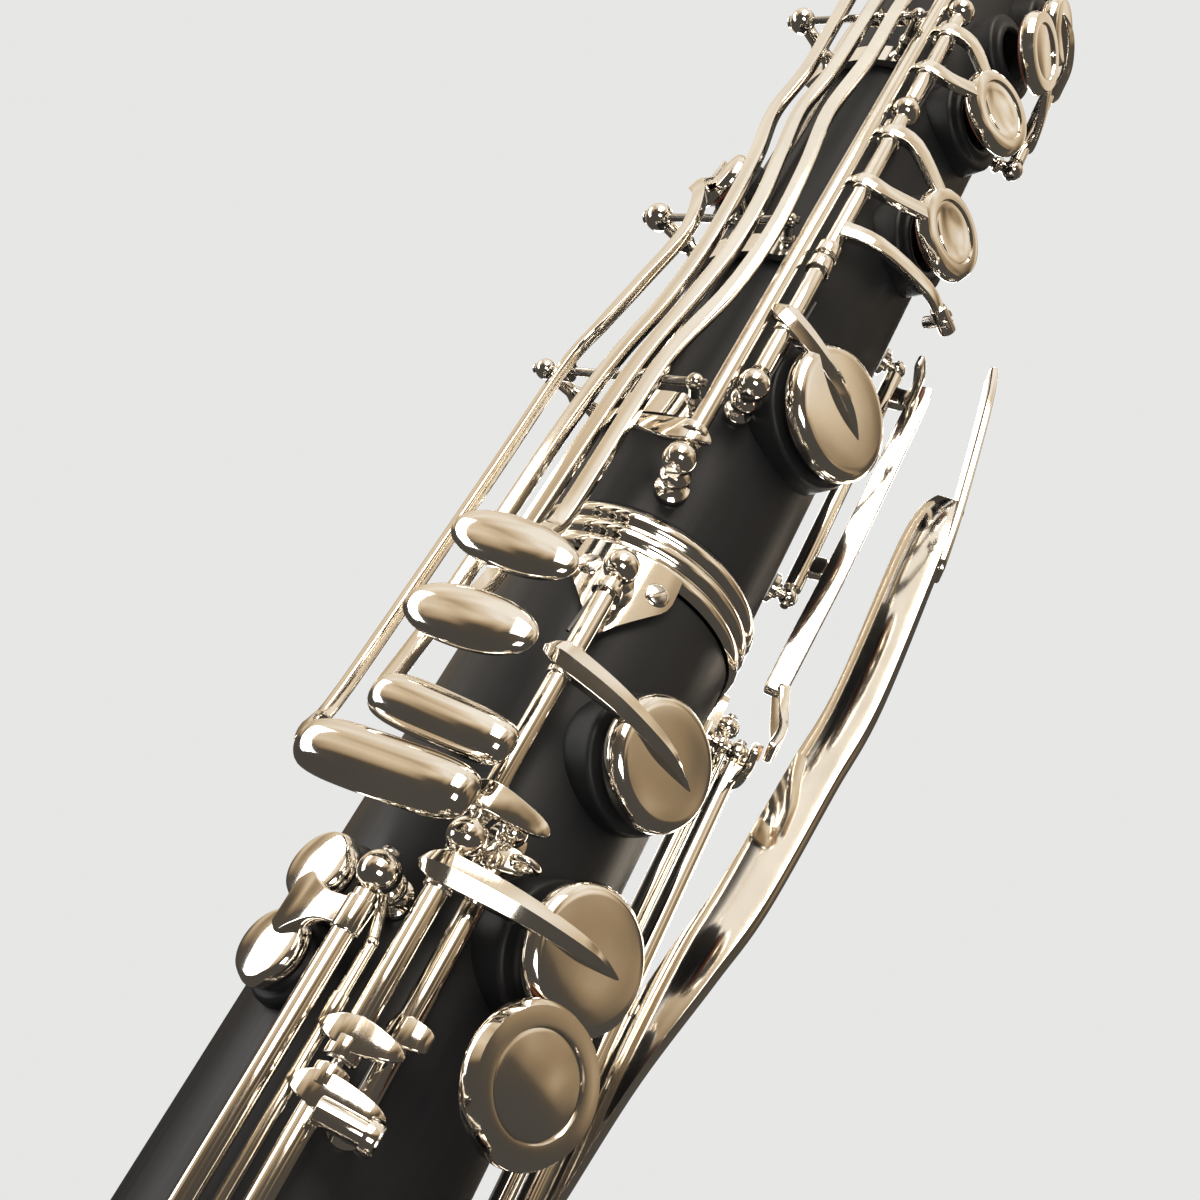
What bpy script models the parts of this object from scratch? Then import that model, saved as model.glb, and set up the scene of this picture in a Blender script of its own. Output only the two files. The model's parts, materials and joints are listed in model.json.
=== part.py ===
"""A low E-flat bass clarinet, built as the separate pieces that it comes apart into.

Lengths below are in millimetres, and MM turns them into metres where a mesh is made.
The bore runs up along +Z. A place is given as (phi, rho, z): phi is the angle round the bore in degrees,
0 at the front where the tone holes are and positive towards +X, rho is the distance from the bore's axis,
and z is the height above the joint between the two wooden bodies.
The model's own origin is the middle of the strap ring, at the back, which carries the instrument.
"""

import math

import bmesh
import bpy
from mathutils import Matrix, Vector

MM = 0.001
GAP = 0.3                 # clearance between pieces that touch

# wooden bodies
LOWER_R = 20.0
UPPER_R = 19.6
BORE_R = 12.0
UPPER_TOP = 345.0
LOWER_END = -415.0
SOCKET_R = 15.4           # socket of the lower joint, and the tenon in it
SOCKET_DEPTH = 27.0
TENON_R = 14.2
LOWER_TENON_R = 13.6      # tenon at the foot, in the bell
NECK_SOCKET_R = 11.8
NECK_SOCKET_DEPTH = 24.0
BODY_SIDES = 20
BORE_SIDES = 10

# metal rings
COLLAR_R = 21.2
COLLAR_LENGTH = 10.0
COLLAR_SEAT_R = 18.4
TOP_RING_R = 22.0
TOP_RING_LENGTH = 11.0

# keywork
STEEL_R = 0.75            # steel rod inside a hinge tube
HOLE_R = 1.05
TUBE_R = 1.6
BALL_R = 2.75             # ball head of a post
STEM_R = 1.3
POST_FOOT_R = 2.8
POST_CLEAR = BALL_R + GAP
CUP_THICK = 4.4
PLATE_THICK = 3.6
CUP_SIDES = 10
ARM_W = 4.2
ARM_T = 1.5

# strap ring, on the back of the lower joint
RING_Z = -45.0
RING_RHO = 30.5
RING_LOOP_R = 7.0
RING_WIRE_R = 1.5

# neck and mouthpiece, in the plane x = 0
NECK_R = 11.0
NECK_WALL = 1.0
NECK_RISE = 58.0
NECK_BEND_R = 42.0
NECK_BEND = 76.0          # degrees turned towards the player
NECK_REACH = 26.0
CORK_LENGTH = 22.0
MOUTHPIECE_LENGTH = 92.0

# bell and floor peg
BELL_WALL = 1.1
BELL_BOW_R = 47.0
BELL_TUBE_R = 15.5
BELL_RIM_R = 49.0
PEG_RHO = 31.0
PEG_R = 4.0
PEG_TOP = -432.0
PEG_BOTTOM = -640.0
HOLDER_TOP = -424.0
HOLDER_BOTTOM = -500.0
HOLDER_R = 7.5

WOOD = ((0.012, 0.011, 0.011), 0.42, 0.0)
PLATE = ((0.80, 0.77, 0.72), 0.16, 1.0)
STEEL = ((0.55, 0.55, 0.56), 0.25, 1.0)
CORK = ((0.45, 0.27, 0.14), 0.9, 0.0)
EBONITE = ((0.015, 0.015, 0.016), 0.2, 0.0)
CANE = ((0.72, 0.58, 0.33), 0.55, 0.0)
RUBBER = ((0.03, 0.03, 0.03), 0.8, 0.0)

for stale in list(bpy.data.objects):
    bpy.data.objects.remove(stale, do_unlink=True)

INSTRUMENT = bpy.data.collections.new("bass_clarinet")
WORKBENCH = bpy.data.collections.new("cutters")
bpy.context.scene.collection.children.link(INSTRUMENT)
bpy.context.scene.collection.children.link(WORKBENCH)


# ---------------------------------------------------------------- places and directions

def at(phi, rho, z):
    """The point at that place, in metres in the model's frame."""
    a = math.radians(phi)
    return Vector((rho * math.sin(a), -rho * math.cos(a) - RING_RHO, z - RING_Z)) * MM


def outward(phi):
    a = math.radians(phi)
    return Vector((math.sin(a), -math.cos(a), 0.0))


def around(phi):
    """Along the body's surface, towards larger phi."""
    a = math.radians(phi)
    return Vector((math.cos(a), math.sin(a), 0.0))


def away_from_bore(point):
    flat = Vector((point.x, point.y + RING_RHO * MM, 0.0))
    return flat.normalized()


UP = Vector((0.0, 0.0, 1.0))
BACK = Vector((0.0, 1.0, 0.0))


def facing(direction, side=None):
    """Rotation that turns +Z to a direction, and keeps +Y near side."""
    z = direction.normalized()
    y = (side or UP)
    if abs(z.dot(y)) > 0.99:
        y = BACK
    x = y.cross(z).normalized()
    y = z.cross(x)
    return Matrix((x, y, z)).transposed().to_4x4()


# ---------------------------------------------------------------- simple solids

def new_object(mesh, name="stock"):
    obj = bpy.data.objects.new(name, mesh)
    WORKBENCH.objects.link(obj)
    obj.hide_render = True
    obj.display_type = "WIRE"
    return obj


def from_bmesh(bm):
    mesh = bpy.data.meshes.new("stock")
    bm.to_mesh(mesh)
    bm.free()
    return new_object(mesh)


def evaluated_copy(obj):
    """The object's modified shape as a plain mesh object in world space; the old object is removed."""
    bpy.context.view_layer.update()
    graph = bpy.context.evaluated_depsgraph_get()
    mesh = bpy.data.meshes.new_from_object(obj.evaluated_get(graph))
    mesh.transform(obj.matrix_world)
    mesh.materials.clear()
    bpy.data.objects.remove(obj, do_unlink=True)
    bm = bmesh.new()
    bm.from_mesh(mesh)
    bmesh.ops.remove_doubles(bm, verts=bm.verts, dist=1e-6)
    bm.to_mesh(mesh)
    bm.free()
    return new_object(mesh)


def rod(start, end, radius, sides=6, end_radius=None):
    """A straight round bar, or a cone, between two points."""
    axis = end - start
    place = Matrix.Translation((start + end) / 2) @ facing(axis)
    bm = bmesh.new()
    last = radius if end_radius is None else end_radius
    bmesh.ops.create_cone(bm, cap_ends=True, segments=sides, radius1=radius * MM, radius2=last * MM,
                          depth=axis.length, matrix=place)
    return from_bmesh(bm)


def ball(centre, radii, facing_matrix=None, u=8, v=6):
    turn = facing_matrix or Matrix.Identity(4)
    size = Matrix.Diagonal((radii[0] * MM, radii[1] * MM, radii[2] * MM, 1.0))
    bm = bmesh.new()
    bmesh.ops.create_uvsphere(bm, u_segments=u, v_segments=v, radius=1.0,
                              matrix=Matrix.Translation(centre) @ turn @ size)
    return from_bmesh(bm)


def block(centre, size, turn=None):
    bm = bmesh.new()
    scale = Matrix.Diagonal((size[0] * MM, size[1] * MM, size[2] * MM, 1.0))
    bmesh.ops.create_cube(bm, size=1.0,
                          matrix=Matrix.Translation(centre) @ (turn or Matrix.Identity(4)) @ scale)
    return from_bmesh(bm)


def turned(profile, centre, direction, sides):
    """A profile of (radius, height) points from top to bottom, turned about direction through centre."""
    mesh = bpy.data.meshes.new("profile")
    points = [(r * MM, 0.0, h * MM) for r, h in profile]
    edges = [(i, i + 1) for i in range(len(points) - 1)]
    mesh.from_pydata(points, edges, [])
    obj = new_object(mesh)
    obj.matrix_world = Matrix.Translation(centre) @ facing(direction)
    screw = obj.modifiers.new("turn", "SCREW")
    screw.steps = sides
    screw.render_steps = sides
    screw.use_merge_vertices = True
    screw.merge_threshold = 0.00001
    return evaluated_copy(obj)


def ring_solid(outer, inner, top, bottom, centre, direction, sides):
    """A plain turned ring, open in the middle."""
    body = turned([(0, top), (outer, top), (outer, bottom), (0, bottom)], centre, direction, sides)
    d = direction.normalized() * MM
    hole = rod(centre + d * (bottom - 1), centre + d * (top + 1), inner, sides)
    return fuse([body], [hole])


def bar(stations, up=None):
    """A forged bar of rectangular section through (phi, rho, z, width, thickness) stations.

    Its wide face looks away from the bore, or along up where that is given."""
    points = [at(*s[:3]) for s in stations]
    return bar_through(points, [s[3:5] for s in stations], up)


def bar_through(points, sections, up=None):
    bm = bmesh.new()
    rings = []
    last = len(points) - 1
    for i, (point, (width, thick)) in enumerate(zip(points, sections)):
        along = (points[min(i + 1, last)] - points[max(i - 1, 0)]).normalized()
        lift = up if up else away_from_bore(point)
        lift = (lift - along * lift.dot(along)).normalized()
        side = along.cross(lift)
        w = side * (width * MM / 2)
        t = lift * (thick * MM / 2)
        rings.append([bm.verts.new(point + c) for c in (w + t, w - t, -w - t, -w + t)])
    for a, b in zip(rings, rings[1:]):
        for k in range(4):
            n = (k + 1) % 4
            bm.faces.new((a[k], a[n], b[n], b[k]))
    bm.faces.new(reversed(rings[0]))
    bm.faces.new(rings[-1])
    bmesh.ops.recalc_face_normals(bm, faces=bm.faces)
    bmesh.ops.triangulate(bm, faces=bm.faces)
    return from_bmesh(bm)


def tube_along(points, radius, resolution=1):
    """A round wire with filled caps through points."""
    curve = bpy.data.curves.new("wire", "CURVE")
    curve.dimensions = "3D"
    curve.bevel_depth = radius * MM
    curve.bevel_resolution = resolution
    curve.use_fill_caps = True
    spline = curve.splines.new("POLY")
    spline.points.add(len(points) - 1)
    for target, point in zip(spline.points, points):
        target.co = (point.x, point.y, point.z, 1.0)
    return evaluated_copy(new_object(curve))


def wire_ring(centre, radius, wire_r, rotation, sides):
    """A round ring of round wire, square to Z before it is rotated."""
    bpy.ops.mesh.primitive_torus_add(major_radius=radius * MM, minor_radius=wire_r * MM,
                                     major_segments=sides,
                                     minor_segments=6, location=centre, rotation=rotation)
    torus = bpy.context.object
    for home in list(torus.users_collection):
        home.objects.unlink(torus)
    WORKBENCH.objects.link(torus)
    return evaluated_copy(torus)


def fuse(parts, cuts=()):
    """The union of parts, less the cuts, as one mesh object."""
    base = parts[0]
    for operation, others in (("UNION", parts[1:]), ("DIFFERENCE", cuts)):
        for other in others:
            step = base.modifiers.new(operation.lower(), "BOOLEAN")
            step.operation = operation
            step.solver = "EXACT"
            step.object = other
    result = evaluated_copy(base)
    for other in list(parts[1:]) + list(cuts):
        bpy.data.objects.remove(other, do_unlink=True)
    return result


# ---------------------------------------------------------------- finished pieces

def finish(name, obj, look, pivot=None, turn=0.0, axis=UP):
    """Name a solid, give it its material, and put its origin on its joint's axis.

    turn rotates it about that axis, in degrees, from the place that it was modelled in."""
    colour, roughness, metallic = look
    material = bpy.data.materials.new(name)
    material.use_nodes = True
    shader = material.node_tree.nodes["Principled BSDF"]
    shader.inputs["Base Color"].default_value = (*colour, 1.0)
    shader.inputs["Roughness"].default_value = roughness
    shader.inputs["Metallic"].default_value = metallic
    obj.data.materials.append(material)
    WORKBENCH.objects.unlink(obj)
    INSTRUMENT.objects.link(obj)
    obj.hide_render = False
    obj.display_type = "TEXTURED"
    obj.name = name
    obj.data.name = name
    if pivot is not None:
        obj.data.transform(Matrix.Translation(-pivot))
        obj.location = pivot
        obj.rotation_mode = "QUATERNION"
        obj.rotation_quaternion = Matrix.Rotation(math.radians(turn), 4, axis).to_quaternion()
    obj.data.shade_smooth()
    obj.data.set_sharp_from_angle(angle=math.radians(35))
    return obj


def post(phi, rho, z, wood_r, ball_r=BALL_R, foot_r=POST_FOOT_R):
    """A ball-headed post standing on the wood."""
    foot = wood_r + GAP
    profile = [
        (0, rho + ball_r), (0.87 * ball_r, rho + 0.5 * ball_r), (0.87 * ball_r, rho - 0.5 * ball_r),
        (STEM_R, rho - 0.95 * ball_r), (STEM_R * 1.2, foot + 0.8), (foot_r, foot), (0, foot),
    ]
    return turned(profile, at(phi, 0, z), outward(phi), 6)


def posts_and_rod(name, lines, wood_r, ball_r=BALL_R, foot_r=POST_FOOT_R, base=()):
    """Posts joined by the steel rods that they hold; lines are (phi, rho, post heights)."""
    parts = list(base)
    for phi, rho, heights in lines:
        parts.append(rod(at(phi, rho, min(heights)), at(phi, rho, max(heights)), STEEL_R))
        parts += [post(phi, rho, z, wood_r, ball_r, foot_r) for z in heights]
    return finish(name, fuse(parts), STEEL)


def cup(phi, z, radius, seat, thick=CUP_THICK):
    """A key cup with its pad, closed on a seat that is seat from the bore's axis."""
    low = seat + GAP
    top = low + thick
    profile = [(0, top), (0.62 * radius, top), (radius, top - 0.3 * thick), (radius, low), (0, low)]
    return turned(profile, at(phi, 0, z), outward(phi), CUP_SIDES)


def hinge_tube(phi, rho, low, high):
    return rod(at(phi, rho, low), at(phi, rho, high), TUBE_R)


def hinge_hole(phi, rho, low, high):
    return rod(at(phi, rho, low - 1), at(phi, rho, high + 1), HOLE_R)


def key(name, line, span, parts, stands_open=0.0):
    """A key on a hinge along the bore. It is modelled closed, and stands open by that many degrees.

    The angle is negative where the cup lies at smaller phi than the hinge."""
    phi, rho = line
    low, high = span
    solid = fuse([hinge_tube(phi, rho, low, high)] + parts, [hinge_hole(phi, rho, low, high)])
    return finish(name, solid, PLATE, at(phi, rho, (low + high) / 2), -stands_open)


def arm(line, z, cup_phi, cup_z, cup_top, reach=8.0, rise=0.0):
    """A pointed arm from a hinge tube across a cup's top; reach is in degrees past the cup's middle.

    rise lifts the arm's middle over the edge of a wide tone hole."""
    phi, rho = line
    sign = 1 if cup_phi > phi else -1
    over = cup_top + ARM_T / 2 - 0.5
    middle = (phi + cup_phi) / 2
    slope = (cup_z - z) / (cup_phi - phi)
    tip = cup_phi + sign * reach
    return bar([
        (phi - sign * 1.5, rho + 0.4, z, ARM_W, 2.6),
        (middle - sign * 3, max(over, rho + 0.6) + rise, z + slope * (middle - sign * 3 - phi), ARM_W,
         ARM_T),
        (cup_phi - sign * 6, over, z + slope * (cup_phi - sign * 6 - phi), ARM_W * 0.8, ARM_T),
        (tip, over, z + slope * (tip - phi), 0.9, ARM_T * 0.7),
    ])


# ---------------------------------------------------------------- tone holes

# cup name: (phi, z, cup radius, seat height)
UPPER_SEATS = {
    "big": (-2.0, 34.5, 11.8, 24.2),
    "ring_lower": (6.0, 86.9, 8.9, 24.0),
    "ring_upper": (1.0, 124.0, 8.9, 24.0),
    "first_finger": (3.6, 151.0, 8.6, 23.8),
    "spoon": (17.0, 169.5, 7.4, 23.8),
    "trill": (0.0, 191.0, 7.4, 23.4),
    "throat_a": (4.0, 249.0, 7.2, 23.4),
    "throat_g_sharp": (4.0, 276.0, 7.2, 23.4),
    "thumb": (180.0, 150.0, 8.2, 23.4),
    "register": (180.0, 306.0, 5.6, 23.2),
    "side_1": (-106.0, 86.0, 6.2, 23.4),
    "side_2": (-84.0, 176.0, 6.6, 23.4),
    "side_3": (-76.0, 208.0, 6.6, 23.4),
    "side_4": (-66.0, 238.0, 6.6, 23.4),
}
LOWER_SEATS = {
    "cup_1": (-2.0, -38.0, 9.8, 24.0),
    "cup_2": (3.0, -68.0, 9.9, 24.4),
    "plate_2": (2.0, -124.0, 9.4, 24.4),
    "plate_3": (2.0, -160.0, 9.4, 24.4),
    "below_plate_3": (2.0, -186.0, 11.0, 23.6),
    "left_1": (-82.0, -72.5, 5.5, 22.8),
    "left_2": (-82.0, -84.2, 5.5, 22.8),
    "low_g_sharp": (4.0, -216.0, 11.5, 23.6),
    "low_f": (4.0, -246.0, 12.5, 23.6),
    "low_f_sharp": (8.0, -284.0, 13.0, 23.6),
    "low_e": (0.0, -326.0, 13.5, 23.6),
    "low_e_flat": (6.0, -372.0, 13.5, 23.6),
}
CHIMNEY_MARGIN = 0.5
HOLE_SHARE = 0.6          # tone hole's radius as a share of its cup's


def chimneys(seats):
    return [rod(at(phi, 14, z), at(phi, seat, z), r + CHIMNEY_MARGIN, CUP_SIDES) for phi, z, r,
            seat in seats.values()]


def tone_holes(seats):
    return [rod(at(phi, 6, z), at(phi, seat + 1, z), r * HOLE_SHARE, 6) for phi, z, r,
            seat in seats.values()]


def cup_at(seats, name, thick=CUP_THICK):
    phi, z, r, seat = seats[name]
    return cup(phi, z, r, seat, thick)


def arm_to(line, z, seats, name, reach=8.0, thick=CUP_THICK, rise=0.0):
    phi, cup_z, _, seat = seats[name]
    return arm(line, z, phi, cup_z, seat + GAP + thick, reach, rise)


# ---------------------------------------------------------------- wooden bodies and rings

AXIS = at(0, 0, 0)


def make_upper_joint():
    body = turned([(0, UPPER_TOP), (COLLAR_SEAT_R, UPPER_TOP),
                   (COLLAR_SEAT_R, UPPER_TOP - TOP_RING_LENGTH - GAP),
                   (UPPER_R, UPPER_TOP - TOP_RING_LENGTH - GAP), (UPPER_R, GAP), (TENON_R, GAP),
                   (TENON_R, -SOCKET_DEPTH + 2 * GAP), (0,
                                                        -SOCKET_DEPTH + 2 * GAP)], AXIS, UP, BODY_SIDES)
    cork_groove = ring_solid(TENON_R + 2, TENON_R - 0.9, -4.0, -22.0, AXIS, UP, BODY_SIDES)
    bore = rod(at(0, 0, -SOCKET_DEPTH - 5), at(0, 0, UPPER_TOP + 5), BORE_R, BORE_SIDES)
    neck_socket = rod(at(0, 0, UPPER_TOP - NECK_SOCKET_DEPTH), at(0, 0, UPPER_TOP + 5),
                      NECK_SOCKET_R + 1.6, 18)
    cuts = [cork_groove, bore, neck_socket] + tone_holes(UPPER_SEATS)
    finish("upper_joint", fuse([body] + chimneys(UPPER_SEATS), cuts), WOOD)


def make_lower_joint():
    top = -GAP
    shoulder = -COLLAR_LENGTH - GAP
    body = turned([(0, top), (COLLAR_SEAT_R, top), (COLLAR_SEAT_R, shoulder), (LOWER_R, shoulder),
                   (LOWER_R, LOWER_END + 14), (LOWER_TENON_R, LOWER_END + 14), (LOWER_TENON_R,
                                                                                LOWER_END - 8),
                   (0, LOWER_END - 8)], AXIS, UP, BODY_SIDES)
    bore = rod(at(0, 0, LOWER_END - 20), at(0, 0, 5), BORE_R, BORE_SIDES)
    socket = rod(at(0, 0, -SOCKET_DEPTH), at(0, 0, 5), SOCKET_R, 18)
    finish("lower_joint", fuse([body] + chimneys(LOWER_SEATS), [bore, socket] + tone_holes(LOWER_SEATS)),
           WOOD)


def make_middle_collar():
    """Three-beaded ring round the socket, with the flat plate below it that carries the first post."""
    inner = COLLAR_SEAT_R + GAP
    ring = ring_solid(COLLAR_R, inner, -GAP, -COLLAR_LENGTH, AXIS, UP, BODY_SIDES)
    plate = bar([(-42.5, 21.0, -8.0, 15.0, 1.2), (-42.5, 21.0, -13.0, 13.0, 1.2),
                 (-42.5, 21.0, -24.5, 3.0, 1.2)])
    finish("middle_collar", fuse([ring, plate]), PLATE)


def make_top_ring():
    top = UPPER_TOP + 1.5
    ring = turned([(0, top), (TOP_RING_R, top), (TOP_RING_R, UPPER_TOP - TOP_RING_LENGTH),
                   (0, UPPER_TOP - TOP_RING_LENGTH)], AXIS, UP, BODY_SIDES)
    seat = rod(at(0, 0, UPPER_TOP - TOP_RING_LENGTH - 2), at(0, 0, UPPER_TOP + GAP), COLLAR_SEAT_R + GAP,
               BODY_SIDES)
    mouth = rod(at(0, 0, UPPER_TOP - 2), at(0, 0, UPPER_TOP + 5), NECK_SOCKET_R + 1.6, 18)
    finish("upper_socket_ring", fuse([ring], [seat, mouth]), PLATE)


def make_tenon_cork():
    cork = ring_solid(SOCKET_R - GAP, TENON_R - 0.9 + GAP, -4.0 - GAP, -22.0 + GAP, AXIS, UP, 18)
    finish("middle_tenon_cork", cork, CORK)


def make_strap_ring():
    """A foot plate on the back of the body, and a wire loop whose eye runs from side to side."""
    foot = block(at(180, LOWER_R + GAP + 0.9, RING_Z), (9.0, 1.8, 24.0))
    stalk = rod(at(180, LOWER_R + 1.0, RING_Z), at(180, RING_RHO - RING_LOOP_R, RING_Z), 2.2)
    loop = wire_ring(at(180, RING_RHO, RING_Z), RING_LOOP_R, RING_WIRE_R, (0, math.pi / 2, 0), 14)
    finish("strap_ring", fuse([loop, stalk, foot]), PLATE)


def make_thumb_rest():
    """Right-hand thumb rest: a plate on the back with a hook for the thumb under it."""
    plate = block(at(180, LOWER_R + GAP + 1.0, -128), (13.0, 2.0, 34.0))
    hook = bar([(180, 21.5, -118, 15, 3.0), (180, 29, -119, 17, 3.0), (180, 36, -122, 17, 3.0),
                (180, 40, -127, 15, 2.6)], UP)
    finish("thumb_rest", fuse([plate, hook]), PLATE)


# ---------------------------------------------------------------- neck, mouthpiece

def neck_path(steps=6):
    """Points of the neck's centre line, from the socket up and round towards the player."""
    points = [at(0, 0, UPPER_TOP - NECK_SOCKET_DEPTH + 1), at(0, 0, UPPER_TOP + NECK_RISE)]
    centre = points[-1] + BACK * (NECK_BEND_R * MM)
    for i in range(1, steps + 1):
        a = math.radians(NECK_BEND) * i / steps
        points.append(centre + Vector((0, -math.cos(a), math.sin(a))) * (NECK_BEND_R * MM))
    return points


def neck_end_direction():
    a = math.radians(NECK_BEND)
    return Vector((0.0, math.sin(a), math.cos(a)))


NECK_MOUTH = neck_path()[-1] + neck_end_direction() * (NECK_REACH * MM)
BLOW = neck_end_direction()
REED_SIDE = Vector((0.0, BLOW.z, -BLOW.y))      # down, square to the mouthpiece's axis


def make_neck():
    path = neck_path() + [NECK_MOUTH]
    outer = tube_along(path, NECK_R, 2)
    inner = tube_along([path[0] - UP * 0.004] + path[1:-1] + [NECK_MOUTH + BLOW * 0.004],
                       NECK_R - NECK_WALL, 1)
    bead = rod(at(0, 0, UPPER_TOP + 2.2), at(0, 0, UPPER_TOP + 8), 15.0, 16)
    cork_stop = rod(NECK_MOUTH - BLOW * (CORK_LENGTH + 3.5) * MM,
                    NECK_MOUTH - BLOW * (CORK_LENGTH + 0.5) * MM,
                    13.2, 16)
    vent_seat = rod(NECK_VENT, NECK_VENT + NECK_VENT_OUT * (3.4 * MM), 3.0, 8)
    posts = []
    for s in (-1, 1):
        foot = NECK_HINGE + Vector((s * 7.2, 0, 0)) * MM
        posts.append(rod(foot - NECK_VENT_OUT * (9.5 * MM), foot + NECK_VENT_OUT * (1.6 * MM), 1.6, 6))
    pin = rod(NECK_HINGE - Vector((8.6, 0, 0)) * MM, NECK_HINGE + Vector((8.6, 0, 0)) * MM, STEEL_R)
    vent_hole = rod(NECK_VENT - NECK_VENT_OUT * (6 * MM), NECK_VENT + NECK_VENT_OUT * (6 * MM), 1.2, 6)
    finish("neck", fuse([outer, bead, cork_stop, vent_seat, pin] + posts, [inner, vent_hole]), PLATE)


def make_neck_cork():
    start = NECK_MOUTH - BLOW * (CORK_LENGTH * MM)
    outer = rod(start, NECK_MOUTH - BLOW * (0.5 * MM), 12.8, 16)
    inner = rod(start - BLOW * 0.002, NECK_MOUTH + BLOW * 0.002, NECK_R + GAP, 16)
    finish("neck_cork", fuse([outer], [inner]), CORK)


MP_START = NECK_MOUTH - BLOW * ((CORK_LENGTH - 2) * MM)      # shank end of the mouthpiece
MP_TIP = MP_START + BLOW * (MOUTHPIECE_LENGTH * MM)
MP_R = 16.0
TABLE_DEPTH = 9.5         # from the axis down to the flat table that the reed lies on
REED_LENGTH = 64.0


def mp_point(along, side, down):
    """A point on the mouthpiece: along from its shank, side towards +X, down towards the reed."""
    return MP_START + (BLOW * along + Vector((side, 0, 0)) + REED_SIDE * down) * MM


def make_mouthpiece():
    body = turned([(0, MOUTHPIECE_LENGTH), (8.5, MOUTHPIECE_LENGTH), (13.0, 66.0), (14.2, 34.0),
                   (14.2, 25.0),
                   (MP_R + 1.2, 24.0), (MP_R + 1.2, 2.0), (MP_R, 0.0), (0, 0)], MP_START, BLOW, 18)
    turn = facing(BLOW, REED_SIDE)
    table = block(mp_point(60, 0, TABLE_DEPTH + 12), (60.0, 24.0, 70.0), turn)
    beak_angle = math.radians(22)
    beak_normal = (-REED_SIDE * math.cos(beak_angle) + BLOW * math.sin(beak_angle)).normalized()
    beak_foot = mp_point(MOUTHPIECE_LENGTH, 0, TABLE_DEPTH - 1.6)
    beak = block(beak_foot + beak_normal * (20 * MM), (60.0, 130.0, 40.0), facing(beak_normal, BLOW))
    socket = rod(mp_point(-3, 0, 0), mp_point(CORK_LENGTH - 1.0, 0, 0), 12.8 + GAP, 16)
    bore = rod(mp_point(CORK_LENGTH - 4, 0, 0), mp_point(58, 0, 0), 8.0, 10)
    window = block(mp_point(62, 0, TABLE_DEPTH - 3), (9.0, 14.0, 34.0), turn)
    finish("mouthpiece", fuse([body], [table, beak, socket, bore, window]), EBONITE)


def make_reed():
    """A cane reed, flat on the table and thinning to its tip."""
    low = TABLE_DEPTH + GAP
    butt = MOUTHPIECE_LENGTH - REED_LENGTH
    points = [mp_point(butt, 0, low + 1.6), mp_point(butt + 34, 0, low + 1.5),
              mp_point(butt + 52, 0, low + 0.75),
              mp_point(MOUTHPIECE_LENGTH - 0.5, 0, low + 0.15)]
    sections = [(13.5, 3.2), (14.2, 3.0), (15.0, 1.5), (15.8, 0.3)]
    finish("reed", bar_through(points, sections, REED_SIDE), CANE)


def make_ligature():
    """A strip of metal round the mouthpiece and reed, with two ears that a screw draws together."""
    outer_r = 18.2
    start, end = 26.5, 54.0
    band = rod(mp_point(start, 0, 0), mp_point(end, 0, 0), outer_r, 18, outer_r - 1.6)
    inner = rod(mp_point(start - 1, 0, 0), mp_point(end + 1, 0, 0), outer_r - 1.5, 18, outer_r - 3.2)
    ears = [block(mp_point(40, s * 2.6, outer_r + 2.0), (1.6, 7.0, 22.0),
                  facing(BLOW, REED_SIDE)) for s in (-1, 1)]
    slit = block(mp_point(40, 0, outer_r), (2.2, 16.0, 40.0), facing(BLOW, REED_SIDE))
    holes = [rod(mp_point(z, -6, outer_r + 3.2), mp_point(z, 6, outer_r + 3.2), 1.5, 8) for z in (33, 47)]
    finish("ligature", fuse([band] + ears, [inner, slit] + holes), PLATE)


SCREW_PLACES = {"ligature_screw_rear": 33.0, "ligature_screw_front": 47.0}


def make_ligature_screws():
    for name, z in SCREW_PLACES.items():
        shaft = rod(mp_point(z, -5.5, 21.4), mp_point(z, 10, 21.4), 1.15, 6)
        head = rod(mp_point(z, 6.0, 21.4), mp_point(z, 12.0, 21.4), 3.2, 10)
        finish(name, fuse([shaft, head]), PLATE, mp_point(z, 0, 21.4))


# neck octave vent, on the top of the bend, and the small key that covers it
VENT_ANGLE = 20.0
NECK_CENTRE = at(0, 0, UPPER_TOP + NECK_RISE) + BACK * (NECK_BEND_R * MM)
NECK_VENT_OUT = Vector((0, -math.cos(math.radians(VENT_ANGLE)), math.sin(math.radians(VENT_ANGLE))))
NECK_VENT = NECK_CENTRE + NECK_VENT_OUT * ((NECK_BEND_R + NECK_R - 1) * MM)
NECK_HINGE = at(0, NECK_R + 5.6, UPPER_TOP + 40)
NECK_RING_R = 27.0
NECK_RING_Z = UPPER_TOP + 11.0
NECK_RING_WIRE_R = 1.2


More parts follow.
